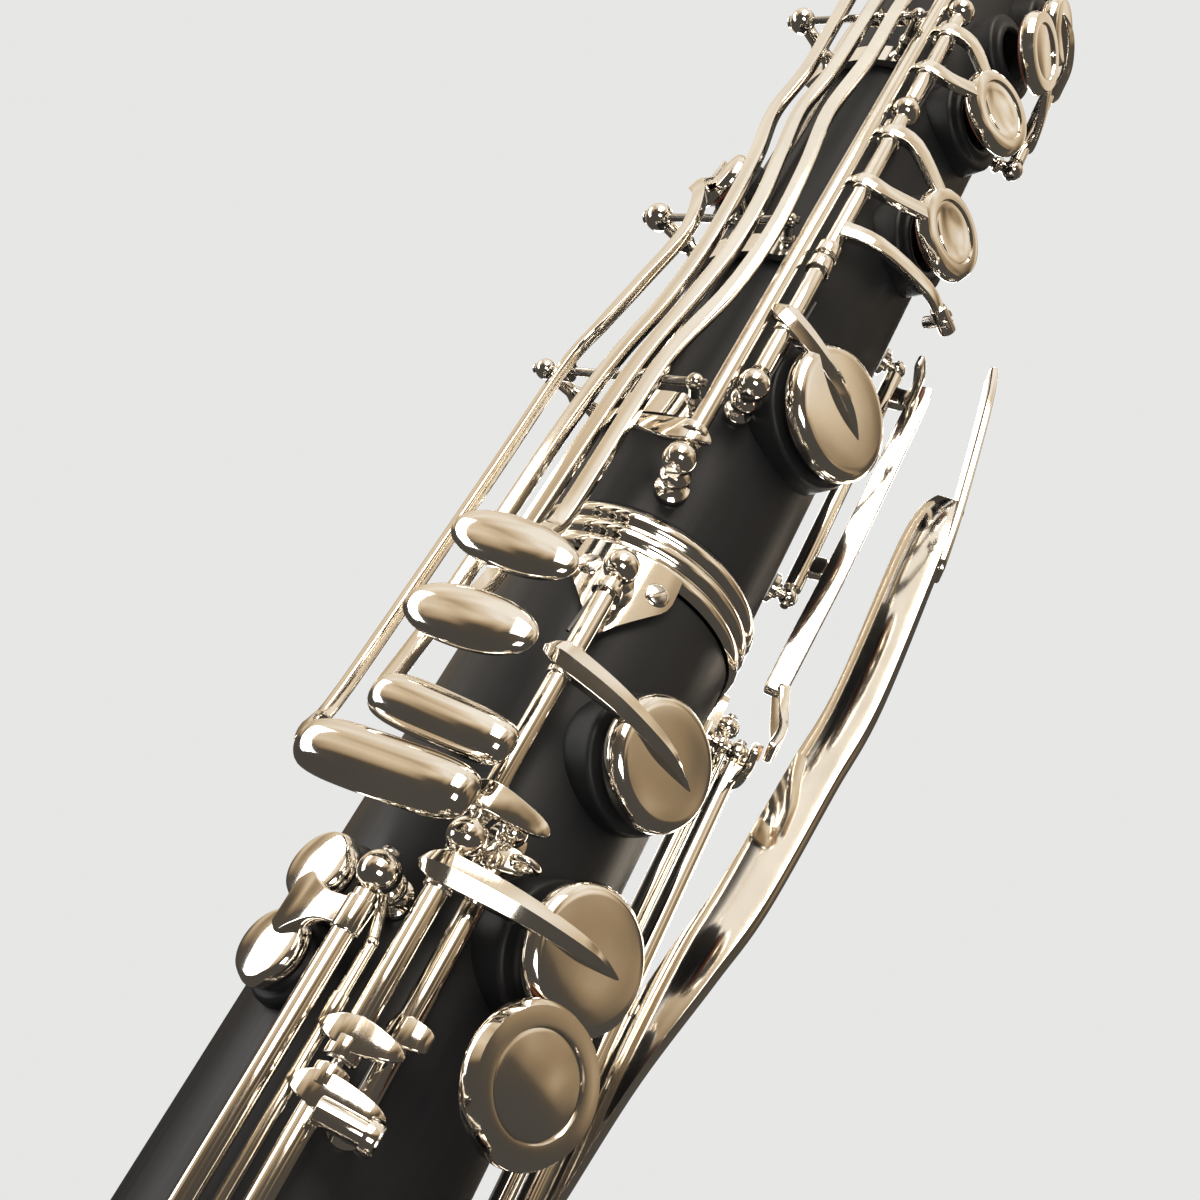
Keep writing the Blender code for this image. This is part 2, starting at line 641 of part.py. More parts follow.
def make_neck_vent_key():
    """A lever down the front of the neck, with the cup at its top and at its foot a ring round the neck.

    The register key's upper end stands inside the ring and pushes it back."""
    x = Vector((1, 0, 0))
    tube = rod(NECK_HINGE - x * (5.2 * MM), NECK_HINGE + x * (5.2 * MM), TUBE_R)
    pad_low = NECK_VENT + NECK_VENT_OUT * ((3.4 + GAP) * MM)
    pad = rod(pad_low, pad_low + NECK_VENT_OUT * (2.6 * MM), 4.2, 10)
    upper = bar_through([NECK_HINGE, at(0, NECK_R + 7.5, UPPER_TOP + 52),
                         pad_low + NECK_VENT_OUT * (2.2 * MM)],
                        [(3.4, 1.8), (3.6, 1.6), (3.0, 1.4)], -BACK)
    tail = bar_through([NECK_HINGE, at(0, 21.5, UPPER_TOP + 26), at(0, NECK_RING_R, NECK_RING_Z)],
                       [(3.4, 1.8), (4.0, 1.6), (5.0, 1.5)], -BACK)
    loop = wire_ring(at(0, 0, NECK_RING_Z), NECK_RING_R, NECK_RING_WIRE_R, (0, 0, 0), 16)
    hole = rod(NECK_HINGE - x * 0.01, NECK_HINGE + x * 0.01, HOLE_R)
    finish("neck_vent_key", fuse([loop, tube, pad, upper, tail], [hole]), PLATE, NECK_HINGE)


# ---------------------------------------------------------------- bell and floor peg

def bell_section(i, count):
    """Centre, direction and radius of the bell's tube at step i: down, round the bow, and out to the rim."""
    t = i / count
    start_z = LOWER_END + 10
    drop = 34.0
    bow = math.radians(158)
    flare_length = 62.0
    total = drop + BELL_BOW_R * bow + flare_length
    s = t * total
    if s <= drop:
        y, z, a = 0.0, start_z - s, 0.0
    elif s <= drop + BELL_BOW_R * bow:
        a = (s - drop) / BELL_BOW_R
        y = -BELL_BOW_R * (1 - math.cos(a))
        z = start_z - drop - BELL_BOW_R * math.sin(a)
    else:
        a = bow
        rest = s - drop - BELL_BOW_R * bow
        y = -BELL_BOW_R * (1 - math.cos(a)) - math.sin(a) * rest
        z = start_z - drop - BELL_BOW_R * math.sin(a) - math.cos(a) * rest
    direction = Vector((0, -math.sin(a), -math.cos(a)))
    flare = max(0.0, (t - 0.35) / 0.65)
    radius = BELL_TUBE_R + 6.0 * flare + (BELL_RIM_R - BELL_TUBE_R - 6.0) * flare ** 4.5
    centre = at(0, 0, 0) + Vector((0, y, z)) * MM
    return centre, direction, radius


def make_bell():
    sides, count = 14, 15
    bm = bmesh.new()
    rings = []
    for i in range(count + 1):
        centre, direction, radius = bell_section(i, count)
        normal = Vector((0, direction.z, -direction.y))
        ring = []
        for k in range(sides):
            a = 2 * math.pi * k / sides
            ring.append(bm.verts.new(centre + (Vector((math.cos(a), 0,
                                                       0)) + normal * math.sin(a)) * (radius * MM)))
        rings.append(ring)
    for a, b in zip(rings, rings[1:]):
        for k in range(sides):
            n = (k + 1) % sides
            bm.faces.new((a[k], b[k], b[n], a[n]))
    bmesh.ops.recalc_face_normals(bm, faces=bm.faces)
    shell = from_bmesh(bm)
    thick = shell.modifiers.new("wall", "SOLIDIFY")
    thick.thickness = BELL_WALL * MM
    thick.offset = -1
    shell = evaluated_copy(shell)
    ferrule = ring_solid(20.5, BELL_TUBE_R - 0.6, LOWER_END + 13.5, LOWER_END - 14, AXIS, UP, BODY_SIDES)
    holder = rod(at(180, PEG_RHO, HOLDER_BOTTOM), at(180, PEG_RHO, HOLDER_TOP), HOLDER_R, 12)
    web = block(at(180, 19.0, -434.2), (6.0, 12.4, 10.0))
    web_low = block(at(180, 16.8, -462.6), (6.0, 17.4, 10.0))
    peg_hole = rod(at(180, PEG_RHO, HOLDER_BOTTOM - 5), at(180, PEG_RHO, PEG_TOP + 60), PEG_R + GAP, 12)
    screw_hole = rod(at(180, PEG_RHO, PEG_SCREW_Z), at(180, PEG_RHO + 12, PEG_SCREW_Z), 2.6, 8)
    finish("bell", fuse([shell, ferrule, holder, web, web_low], [peg_hole, screw_hole]), PLATE)


PEG_SCREW_Z = -490.0


def make_floor_peg():
    shaft = rod(at(180, PEG_RHO, PEG_BOTTOM + 14), at(180, PEG_RHO, PEG_TOP), PEG_R - 0.1, 10)
    spike = rod(at(180, PEG_RHO, PEG_BOTTOM + 8), at(180, PEG_RHO, PEG_BOTTOM + 15), 2.4, 10)
    finish("floor_peg", fuse([shaft, spike]), STEEL, at(180, PEG_RHO, HOLDER_BOTTOM))


def make_peg_tip():
    tip = turned([(0, 20), (6.2, 20), (7.2, 4), (6.4, 0), (0, 0)], at(180, PEG_RHO, PEG_BOTTOM), UP, 12)
    socket = turned([(0, 24), (PEG_R + GAP, 24), (PEG_R + GAP, 13.7), (2.4 + GAP, 13.7), (2.4 + GAP, 7.7),
                     (0, 7.7)],
                    at(180, PEG_RHO, PEG_BOTTOM), UP, 12)
    finish("peg_tip", fuse([tip], [socket]), RUBBER)


def make_peg_screw():
    start = PEG_RHO + PEG_R + GAP + 0.1
    shaft = rod(at(180, start, PEG_SCREW_Z), at(180, PEG_RHO + 14, PEG_SCREW_Z), 2.2, 8)
    head = block(at(180, PEG_RHO + 17, PEG_SCREW_Z), (16.0, 9.0, 3.2))
    finish("peg_screw", fuse([shaft, head]), PLATE, at(180, PEG_RHO + 12, PEG_SCREW_Z))


# ---------------------------------------------------------------- keys of the lower joint

FRONT_LINE = (-42.5, 28.0)
PLATE_LINE = (-32.0, 25.0)
LEFT_LINE = (-58.0, 28.0)
LOW_LINE = (-72.0, 27.0)
RIGHT_LINE = (57.0, 27.0)
RIGHT_LOW_LINE = (64.0, 24.4)
LEVER_LINE = (74.0, 30.5)
FRONT_POSTS = (-16.3, -63.1, -137.0, -200.0, -232.0)
SMALL_BALL = 2.0
FINGER_PLATE = (0.6, -85.5, 9.9, 27.4)     # carried by the second cup's key, over no tone hole


def between(high, low, ball_r=BALL_R):
    """The hinge tube's span between two posts."""
    return (low + ball_r + GAP, high - ball_r - GAP)


def touch(phi, rho, z, length, width, up=None, thick=2.0):
    """An oval finger touch, long along z."""
    half = length / 2
    return bar([(phi, rho, z - half, width * 0.45, thick * 0.6), (phi, rho, z - half * 0.6, width, thick),
                (phi, rho, z + half * 0.6, width, thick), (phi, rho, z + half, width * 0.45,
                                                           thick * 0.6)], up)


def make_lower_posts():
    posts_and_rod("front_posts", [(*FRONT_LINE, FRONT_POSTS)], LOWER_R + 1.6)
    posts_and_rod("plate_posts", [(*PLATE_LINE, (-58.5, -98.5))], LOWER_R, SMALL_BALL)
    top, foot = at(-51, 26.4, -80), at(-51, 26.4, -147)
    guard = [rod(top, foot, 0.9), rod(at(-58, 24.4, -72), top, 0.9), rod(at(-58, 24.4, -150), foot, 0.9)]
    posts_and_rod("left_posts", [(*LEFT_LINE, (-72.0, -150.0))], LOWER_R, BALL_R, POST_FOOT_R, guard)
    posts_and_rod("low_posts", [(*LOW_LINE, (-212.0, -290.0, -345.0))], LOWER_R)
    base = bar([(54, 21.6, -15.5, 10.0, 1.3), (66, 21.6, -15.5, 10.0, 1.3)])
    posts_and_rod("right_posts", [(*RIGHT_LINE, (-18.2, -304.0)), (*RIGHT_LOW_LINE, (-13.2, -390.0))],
                  LOWER_R + 0.5, SMALL_BALL, POST_FOOT_R, [base])
    posts_and_rod("lever_posts", [(*LEVER_LINE, (-68.5, -102.5))], LOWER_R, 2.2)


def make_lower_keys():
    s = LOWER_SEATS
    # the two cups and three finger plates down the front
    foot = bar([(-42.5, 28.6, -57.5, 3.6, 1.6), (-33, 28.8, -58.5, 3.2, 1.3),
                (-24, 27.6, -59.5, 2.2, 1.2)])
    key("first_cup_key", FRONT_LINE, between(-16.3, -63.1),
        [cup_at(s, "cup_1"), arm_to(FRONT_LINE, -34.5, s, "cup_1", 11), foot])
    bracket = bar([(-46, 29.2, -91, 3.0, 1.6), (-41, 29.6, -91, 5.0, 1.6), (-31, 29.8, -91, 3.0, 1.6)])
    key("second_cup_key", FRONT_LINE, (-94.3, -63.1 - POST_CLEAR),
        [cup_at(s, "cup_2", 3.6), arm_to(FRONT_LINE, -68.6, s, "cup_2", 10, 3.6), bracket,
         cup(*FINGER_PLATE, PLATE_THICK), bar([(2, 27.2, -72, 5, 2.4), (1, 27.2, -86, 5, 2.4)])], 7.5)
    bracket = bar([(-46, 29.2, -98, 3.0, 1.6), (-41, 29.6, -98, 5.0, 1.6), (-29, 29.8, -99, 3.0, 1.6)])
    adjuster = rod(at(-37, 30.6, -100), at(-24.5, 30.6, -100), 1.7)
    key("second_plate_key", FRONT_LINE, (-137 + POST_CLEAR, -94.9),
        [cup_at(s, "plate_2", PLATE_THICK), arm_to(FRONT_LINE, -124, s, "plate_2", 2, PLATE_THICK),
         bracket, adjuster],
        8.0)
    key("third_plate_key", FRONT_LINE, between(-137, -200),
        [cup_at(s, "plate_3", PLATE_THICK), arm_to(FRONT_LINE, -160, s, "plate_3", 2, PLATE_THICK),
         cup_at(s, "below_plate_3"), arm_to(FRONT_LINE, -184, s, "below_plate_3")], 8.0)
    lugs = [bar([(-32, 26.0, z, 4.0, 2.2), (-27, 27.0, z, 3.4, 1.6),
                 (-24, 26.8, z, 2.4, 1.4)]) for z in (-63.0, -87.5)]
    key("link_key", PLATE_LINE, between(-58.5, -98.5, SMALL_BALL), lugs, 12.0)
    key("left_cups_key", LEFT_LINE, between(-72, -150),
        [cup_at(s, "left_1", 3.2), cup_at(s, "left_2", 3.2),
         bar([(-58, 28.4, -78.4, 4, 2.2), (-67, 27.6, -78.4, 4, 1.8), (-75, 26.6, -78.4, 7, 1.6),
              (-80, 26.0, -78.4, 9, 1.4), (-85, 25.8, -78.4, 6, 1.2)])])

    # right little finger: two low keys that stand open, and one that stands closed
    reach = bar([(-42.5, 28.6, -222, 4.0, 2.2), (-52, 32.0, -222, 4.0, 1.8), (-62, 33.4, -222, 4.0, 1.6)])
    key("low_g_sharp_key", FRONT_LINE, between(-200, -232),
        [cup_at(s, "low_g_sharp"), arm_to(FRONT_LINE, -214, s, "low_g_sharp"), reach,
         touch(-66, 33.6, -221, 17, 9)])
    over = bar([(-72, 27.6, -244, 4.4, 2.4), (-62, 32.0, -244, 4.4, 1.8), (-54, 32.6, -244, 4.4, 1.8),
                (-42.5, 32.2, -244, 4.4, 1.8), (-20, 30.4, -245, 4.0, 1.6), (-4, 28.3, -246, 3.4,
                                                                             1.6), (10, 28.2, -246, 1.0,
                                                                                    1.2)])
    key("low_f_key", LOW_LINE, between(-212, -290), [cup_at(s, "low_f"), over,
                                                     touch(-54, 33.4, -244, 17, 9)], 6.0)
    riser = bar([(-72, 27.6, -300, 5.0, 2.2), (-66, 31.5, -297, 5.0, 1.8), (-60, 32.8, -284, 4.4, 1.8),
                 (-56, 33.4, -268, 4.4, 1.8)])
    key("low_e_key", LOW_LINE, between(-290, -345),
        [cup_at(s, "low_e"), arm_to(LOW_LINE, -326, s, "low_e", rise=2.0), riser,
         touch(-54, 33.4, -263, 15, 9)], 6.0)

    # long keys on the right, worked by the left little finger
    bridge_foot = bar([(57, 27.6, -22, 4.0, 2.2), (48, 28.4, -22, 4.0, 1.6), (42, 28.2, -19, 4.0, 1.4)])
    key("low_f_sharp_key", RIGHT_LINE, between(-18.2, -304, SMALL_BALL),
        [cup_at(s, "low_f_sharp"), arm_to(RIGHT_LINE, -284, s, "low_f_sharp"), bridge_foot], -6.0)
    lever_foot = bar([(64, 25.0, -60, 4.0, 2.0), (75, 25.4, -60, 4.0, 1.6), (84, 26.0, -60, 4.0, 1.4)])
    over = bar([(64, 24.6, -372, 4.4, 2.2), (57, 29.6, -372, 4.4, 1.8), (40, 30.6, -372, 4.4, 1.8),
                (20, 29.0, -372, 4.0, 1.6), (12, 28.3, -372, 3.0, 1.6), (-4, 28.2, -372, 1.0, 1.2)])
    key("low_e_flat_key", RIGHT_LOW_LINE, between(-13.2, -390, SMALL_BALL),
        [cup_at(s, "low_e_flat"), over, lever_foot], -6.0)

    # the big flat lever that stands off the right side, and its thin finger plate
    sweep = bar([(74, 31.0, -99, 4.0, 2.4), (71, 31.4, -88, 5.0, 2.6), (65, 32.2, -70, 6.5, 2.6),
                 (61, 35.0, -52, 8.0, 3.0), (60, 37.8, -38, 8.2, 3.2), (60, 40.4, -14, 8.2, 3.2),
                 (60, 42.4, 5, 8.2, 3.2), (60, 42.4, 42, 8.2, 3.0), (60, 44.2, 53, 5.5,
                                                                     2.6)], outward(-65))
    plate = bar([(60, 47.0, 36, 5.0, 1.5), (60, 46.0, 50, 10.0, 1.5), (60, 43.4, 76, 10.0, 1.5),
                 (60, 41.6, 88, 5.0, 1.5)], outward(43))
    nose = bar([(75.5, 31.0, -74.5, 4.0, 2.2), (83, 28.6, -72, 3.8, 1.6), (86, 24.2, -68, 3.6, 1.4),
                (85, 23.1, -64, 3.6, 1.2), (84.5, 23.1, -58.5, 3.6, 1.2)])
    key("big_lever", LEVER_LINE, between(-68.5, -102.5, 2.2), [sweep, plate, nose])


# ---------------------------------------------------------------- keys of the upper joint

RING_LINE = (-34.5, 28.0)
TRILL_LINE = (-43.5, 28.0)
BRIDGE_LINE = (59.0, 23.6)
UPPER_RIGHT_LINE = (48.0, 27.0)
THROAT_LINE = (-27.0, 27.0)
THUMB_LINE = (150.0, 26.5)
REGISTER_PIN = (180.0, 27.0, 236.0)


def make_upper_posts():
    posts_and_rod("ring_posts", [(*RING_LINE, (26.0, 104.0, 140.0))], UPPER_R, BALL_R, 1.6)
    posts_and_rod("trill_posts", [(*TRILL_LINE, (6.0, 201.0))], UPPER_R)
    posts_and_rod("bridge_posts", [(*BRIDGE_LINE, (14.0, 74.0))], UPPER_R, 1.7)
    posts_and_rod("upper_right_posts", [(*UPPER_RIGHT_LINE, (138.0, 182.0))], UPPER_R, 2.2)
    posts_and_rod("throat_posts", [(*THROAT_LINE, (232.0, 292.0))], UPPER_R, 2.2)
    posts_and_rod("thumb_posts", [(*THUMB_LINE, (132.0, 168.0))], UPPER_R, 2.2)
    phi, rho, z = REGISTER_PIN
    parts = [rod(at(phi, rho, z) - Vector((8, 0, 0)) * MM, at(phi, rho, z) + Vector((8, 0, 0)) * MM,
                 STEEL_R)]
    for s in (-1, 1):
        middle = at(phi, rho, z) + Vector((s * 6.6, 0, 0)) * MM
        drop = Vector((0, rho - UPPER_R - 0.6, 0)) * MM
        parts.append(ball(middle, (2.2, 2.2, 2.2), None, 8, 6))
        parts.append(rod(middle, middle - drop, STEM_R, 6))
    parts.append(block(at(phi, UPPER_R + 1.4, z), (16.5, 2.0, 9.0)))
    finish("register_posts", fuse(parts), STEEL)


def make_upper_keys():
    s = UPPER_SEATS
    key("big_cup_key", RING_LINE, (26.0 + POST_CLEAR, 58.0),
        [cup_at(s, "big"), arm_to(RING_LINE, 41.0, s, "big", 10)])
    for name, low, high, arms, cup_name in (
            ("lower_ring_key", 58.6, 104 - POST_CLEAR, (80.0, 95.5), "ring_lower"),
            ("upper_ring_key", 104 + POST_CLEAR, 140 - POST_CLEAR, (117.5, 131.0), "ring_upper")):
        phi, z, r, seat = s[cup_name]
        parts = [cup_at(s, cup_name, PLATE_THICK)]
        for arm_z in arms:
            inner_z = z + (arm_z - z) * 0.45
            parts.append(bar([(-35, 28.4, arm_z, 3.4, 2.4), (-25, 28.6, arm_z, 3.2, 1.6),
                              (-14 + phi, 27.4, inner_z, 3.0, 1.6), (phi - 8, 27.2, inner_z, 2.0, 1.4)]))
        key(name, RING_LINE, (low, high), parts, 7.5)
    side_foot_low = bar([(-43.5, 28.6, 11.0, 4.0, 1.8), (-52, 27.4, 11.0, 4.0, 1.4),
                         (-64, 27.0, 11.5, 3.4, 1.4)])
    key("trill_key", TRILL_LINE, between(201, 6),
        [cup_at(s, "trill"), arm_to(TRILL_LINE, 189, s, "trill"), side_foot_low])

    blade = bar([(54.5, 29.6, 71, 3.0, 2.0), (54.5, 29.6, 66, 3.8, 2.0), (54.5, 29.2, 29, 3.8, 2.0),
                 (54.5, 28.4, 6, 3.8, 2.0), (54.5, 28.0, -6, 3.6, 2.0)], outward(-50))
    web = bar([(59, 24.4, 22, 4.0, 2.2), (54.5, 28.2, 22, 4.0, 1.8)])
    finger = bar([(54.5, 28.8, -4, 3.8, 2.0), (52, 30.4, -10, 3.8, 1.8), (47, 31.4, -15, 3.8, 1.6),
                  (43, 31.0, -19.5, 3.8, 1.4)])
    lug = bar([(59, 24.4, 67, 4.4, 2.2), (55, 27.8, 67, 4.2, 1.8), (44, 27.8, 67, 4.0, 1.6),
               (32, 27.2, 67, 3.0, 1.3)])
    key("bridge_lever", BRIDGE_LINE, between(74, 14, 1.7), [blade, web, finger, lug])
    key("first_finger_key", UPPER_RIGHT_LINE, (138 + 2.5, 158.0),
        [cup_at(s, "first_finger", PLATE_THICK), arm_to(UPPER_RIGHT_LINE, 149, s, "first_finger", 2,
                                                        PLATE_THICK)],
        -8.0)
    key("spoon_key", UPPER_RIGHT_LINE, (158.6, 182 - 2.5), [cup_at(s, "spoon"),
                                                            arm_to(UPPER_RIGHT_LINE, 170, s, "spoon")])
    throat_touch = bar([(-27, 27.6, 239, 4.0, 2.2), (-33, 30.5, 236, 4.0, 1.8),
                        (-37, 31.4, 226, 5.0, 1.8),
                        (-37, 31.4, 214, 6.0, 1.8), (-37, 31.2, 208, 3.0, 1.4)])
    key("throat_a_key", THROAT_LINE, (232 + 2.5, 261.5),
        [cup_at(s, "throat_a"), arm_to(THROAT_LINE, 249, s, "throat_a"), throat_touch])
    sharp_touch = bar([(-27, 27.6, 268, 4.0, 2.2), (-38, 30.6, 262, 4.0, 1.8), (-49, 33.0, 252, 5.0, 1.8),
                       (-49, 33.4, 226, 6.0, 1.8), (-49, 33.2, 216, 3.0, 1.4)])
    key("throat_g_sharp_key", THROAT_LINE, (262.1, 292 - 2.5),
        [cup_at(s, "throat_g_sharp"), arm_to(THROAT_LINE, 276, s, "throat_g_sharp"), sharp_touch])
    key("thumb_key", THUMB_LINE, between(168, 132, 2.2),
        [cup_at(s, "thumb", PLATE_THICK), arm_to(THUMB_LINE, 150, s, "thumb", 2, PLATE_THICK)], 8.0)

    # register key: a see-saw down the back, pressed by the left thumb, with its pad above
    phi, rho, z = REGISTER_PIN
    pin = at(phi, rho, z)
    x = Vector((1, 0, 0))
    tube = rod(pin - x * (4.0 * MM), pin + x * (4.0 * MM), TUBE_R)
    seat = UPPER_SEATS["register"][3]
    top = seat + GAP + 3.0
    spine = bar_through([at(180, 29.5, 172), at(180, 31.2, 178), at(180, 31.4, 196), at(180, 29.6, 214),
                         at(180, rho + 0.6, z), at(180, rho + 1.0, 262), at(180, top + 0.4, 298),
                         at(180, top + 0.4, 314), at(180, 24.4, 334), at(180, 24.4, NECK_RING_Z + 2)],
                        [(6, 1.4), (10, 1.8), (10, 1.8), (5, 2), (5, 2.4), (4.4, 2), (3.6, 1.8),
                         (3.6, 1.8),
                         (3.4, 1.6), (3.4, 1.6)], BACK)
    pad = cup(180, 306, 5.6, seat, 3.0)
    hole = rod(pin - x * 0.02, pin + x * 0.02, HOLE_R)
    finish("register_key", fuse([spine, tube, pad], [hole]), PLATE, pin)


# ---------------------------------------------------------------- the four side levers

PIN_PHI = -68.7           # the levers' cross pins are square to this direction
# height of each pin: (distance from the bore's axis, right end, right ball, degrees its right post leans)
# height: distance from the bore's axis, then each end's place and ball radius, and the right post's lean
PINS = {22.0: (26.5, (-20.4, 1.8), (7.9, 1.5), 0.0), 65.0: (26.5, (-18.3, 2.6), (7.6, 1.5), 0.0),
        129.0: (29.0, (-13.4, 2.6), (11.1, 1.4), -5.5)}
LEVER_W = 2.6
LEVER_T = 1.8
STRAP_RHO = UPPER_R + GAP + 0.9


def on_pin(s, z):
    """A point s along the cross pin at height z."""
    return at(PIN_PHI, PINS[z][0], z) + around(PIN_PHI) * (s * MM)


def make_side_lever_posts():
    """Three cross pins on pairs of posts; a tie rod joins the curved straps that the posts stand on."""
    parts = [rod(at(-83, STRAP_RHO + 0.7, 18.3), at(-83, STRAP_RHO + 0.7, 132.7), 0.9)]
    for z, (_, left_end, right_end, lean) in PINS.items():
        parts.append(bar([(-112 + 15.5 * i, STRAP_RHO + 0.1, z, 5.0, 1.4) for i in range(5)]))
        parts.append(rod(on_pin(left_end[0], z), on_pin(right_end[0], z), STEEL_R))
        for (s, r), turn in ((left_end, 0.0), (right_end, lean)):
            head = on_pin(s, z)
            out = away_from_bore(head)
            phi = math.degrees(math.atan2(out.x, -out.y))
            parts.append(ball(head, (r, r, r), facing(out), 6, 4))
            parts.append(rod(head, at(phi + turn, STRAP_RHO, z), min(STEM_R, r * 0.65), 6))
    finish("side_lever_posts", fuse(parts), STEEL)


def side_lever(name, stations, pin_z, cup_name, touch_parts):
    """A long flat lever rocking on a cross pin: finger touch at the foot, cup at the head."""
    phi, z, r, seat = UPPER_SEATS[cup_name]
    top = seat + GAP + 3.2
    stations = [(p, rho, height, LEVER_W, LEVER_T) for p, rho, height in stations]
    stations += [(phi, top + 0.4, z - 3, 3.2, 1.5), (phi, top + 0.4, z + 3.5, 1.0, 1.2)]
    spine = bar(stations)
    below = max((s for s in stations if s[2] <= pin_z), key=lambda s: s[2])
    above = min((s for s in stations if s[2] > pin_z), key=lambda s: s[2])
    share = (pin_z - below[2]) / (above[2] - below[2])
    crossing = at(*below[:3]).lerp(at(*above[:3]), share)
    s = (crossing - at(PIN_PHI, 0, pin_z)).dot(around(PIN_PHI)) / MM
    barrel = rod(on_pin(s - 1.0, pin_z), on_pin(s + 1.0, pin_z), 1.9)
    lug = rod(on_pin(s, pin_z), crossing, 1.1)
    hole = rod(on_pin(s - 3, pin_z), on_pin(s + 3, pin_z), HOLE_R)
    pieces = [spine, barrel, lug, cup(phi, z, r, seat, 3.2)] + touch_parts
    finish(name, fuse(pieces, [hole]), PLATE, on_pin(0, pin_z))


def cross_touch(left, right, width, thick, lift):
    """A finger touch across the lever, between two places."""
    a, b = at(*left), at(*right)
    points = [a, a.lerp(b, 0.16), a.lerp(b, 0.84), b]
    return bar_through(points, [(width * 0.5, thick * 0.6), (width, thick), (width, thick),
                                (width * 0.5, thick * 0.6)],
                       lift)


def make_side_levers():
    lift = outward(-62)
    side_lever("side_lever_1", [
        (-87.5, 36.2, -60), (-95.0, 34.4, -56), (-99.0, 32.5, -48), (-99.5, 32.0, -4), (-99.0, 32.0, 22),
        (-92.3, 32.0, 31),
        (-86.0, 32.0, 42), (-81.0, 32.0, 55), (-86.0, 32.0, 67), (-100.0, 30.0, 76)], 22.0, "side_1",
        [cross_touch((-86.6, 36.5, -60.6), (-43.5, 37.0, -61.8), 8.0, 3.6, lift)])
    side_lever("side_lever_2", [
        (-77.0, 34.6, -50), (-80.0, 32.6, -42), (-80.5, 32.0, -36), (-79.7, 32.0, -17), (-78.9, 32.0, 5),
        (-76.1, 32.0, 21),
        (-71.5, 32.0, 35), (-69.8, 32.0, 49), (-70.5, 32.0, 63), (-72.5, 32.0, 77), (-76.4, 32.0, 91),
        (-74.0, 32.0, 105), (-75.0, 32.0, 122), (-77.0, 32.0, 150), (-82.0, 29.6, 166)], 65.0, "side_2",
        [cross_touch((-78.0, 35.0, -50.8), (-42.0, 36.0, -53.2), 7.4, 3.4, lift)])
    side_lever("side_lever_3", [
        (-67.0, 37.2, -38), (-69.5, 34.2, -33), (-70.5, 32.2, -27), (-69.9, 32.0, -17), (-69.1, 32.0, 3),
        (-67.5, 32.0, 21),
        (-63.0, 32.0, 39), (-61.0, 32.0, 51), (-61.5, 32.0, 64), (-64.0, 32.0, 77), (-66.5, 32.0, 91),
        (-64.2, 32.0, 105), (-64.0, 32.0, 132), (-65.5, 32.0, 180), (-74.0, 29.6, 199)], 129.0, "side_3",
        [cross_touch((-78.6, 38.8, -37.8), (-48.1, 38.5, -39.1), 9.0, 2.4, lift)])
    side_lever("side_lever_4", [
        (-60.5, 37.0, -25), (-61.5, 34.2, -19), (-61.5, 32.2, -13), (-61.2, 32.0, 14), (-59.5, 32.0, 25),
        (-54.2, 32.0, 40),
        (-52.5, 32.0, 56), (-54.0, 32.0, 74), (-57.0, 32.0, 91), (-54.8, 32.0, 109), (-55.0, 32.0, 127),
        (-54.0, 32.0, 140), (-53.5, 32.0, 186), (-61.5, 31.6, 204), (-64.5, 29.8, 228)], 129.0, "side_4",
        [cross_touch((-79.6, 38.7, -23.2), (-48.5, 38.3, -26.4), 8.6, 2.4, lift)])


make_upper_joint()
make_lower_joint()
make_middle_collar()
make_top_ring()
make_tenon_cork()
make_strap_ring()
make_thumb_rest()
make_neck()
make_neck_cork()
make_mouthpiece()
make_reed()
make_ligature()
make_ligature_screws()
make_neck_vent_key()
make_bell()
make_floor_peg()
make_peg_tip()
make_peg_screw()
make_lower_posts()
make_lower_keys()
make_upper_posts()
make_upper_keys()
make_side_lever_posts()
make_side_levers()
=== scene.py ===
"""The looks of a low E-flat bass clarinet: smooth, detailed pieces in place of the solid model's plain ones.

Lengths are in millimetres until a mesh is made. A place is (phi, rho, z): phi is the angle round the bore in
degrees, 0 at the front and positive towards +X, rho the distance from the bore's axis, and z the height above
the joint between the two wooden bodies. The frame's origin is the middle of the strap ring.
"""

import json
import math

import bmesh
import bpy
from mathutils import Matrix, Vector


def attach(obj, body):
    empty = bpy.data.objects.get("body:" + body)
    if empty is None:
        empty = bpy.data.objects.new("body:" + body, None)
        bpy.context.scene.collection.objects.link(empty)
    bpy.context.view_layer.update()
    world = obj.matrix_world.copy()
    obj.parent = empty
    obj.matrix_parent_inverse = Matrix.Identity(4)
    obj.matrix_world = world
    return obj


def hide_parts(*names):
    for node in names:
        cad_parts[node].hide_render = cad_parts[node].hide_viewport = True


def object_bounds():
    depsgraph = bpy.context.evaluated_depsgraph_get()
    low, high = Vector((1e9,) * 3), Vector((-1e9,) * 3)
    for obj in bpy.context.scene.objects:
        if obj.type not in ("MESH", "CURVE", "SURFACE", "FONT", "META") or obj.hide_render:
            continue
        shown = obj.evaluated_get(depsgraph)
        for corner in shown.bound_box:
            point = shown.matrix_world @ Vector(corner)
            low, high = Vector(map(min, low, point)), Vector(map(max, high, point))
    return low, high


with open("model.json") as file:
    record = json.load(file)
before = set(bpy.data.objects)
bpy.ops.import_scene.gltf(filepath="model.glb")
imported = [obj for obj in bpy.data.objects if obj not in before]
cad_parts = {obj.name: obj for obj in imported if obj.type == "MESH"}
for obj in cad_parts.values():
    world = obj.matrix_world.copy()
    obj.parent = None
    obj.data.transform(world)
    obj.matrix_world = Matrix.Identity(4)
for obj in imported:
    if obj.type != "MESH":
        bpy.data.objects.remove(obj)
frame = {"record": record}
cad_low, cad_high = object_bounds()
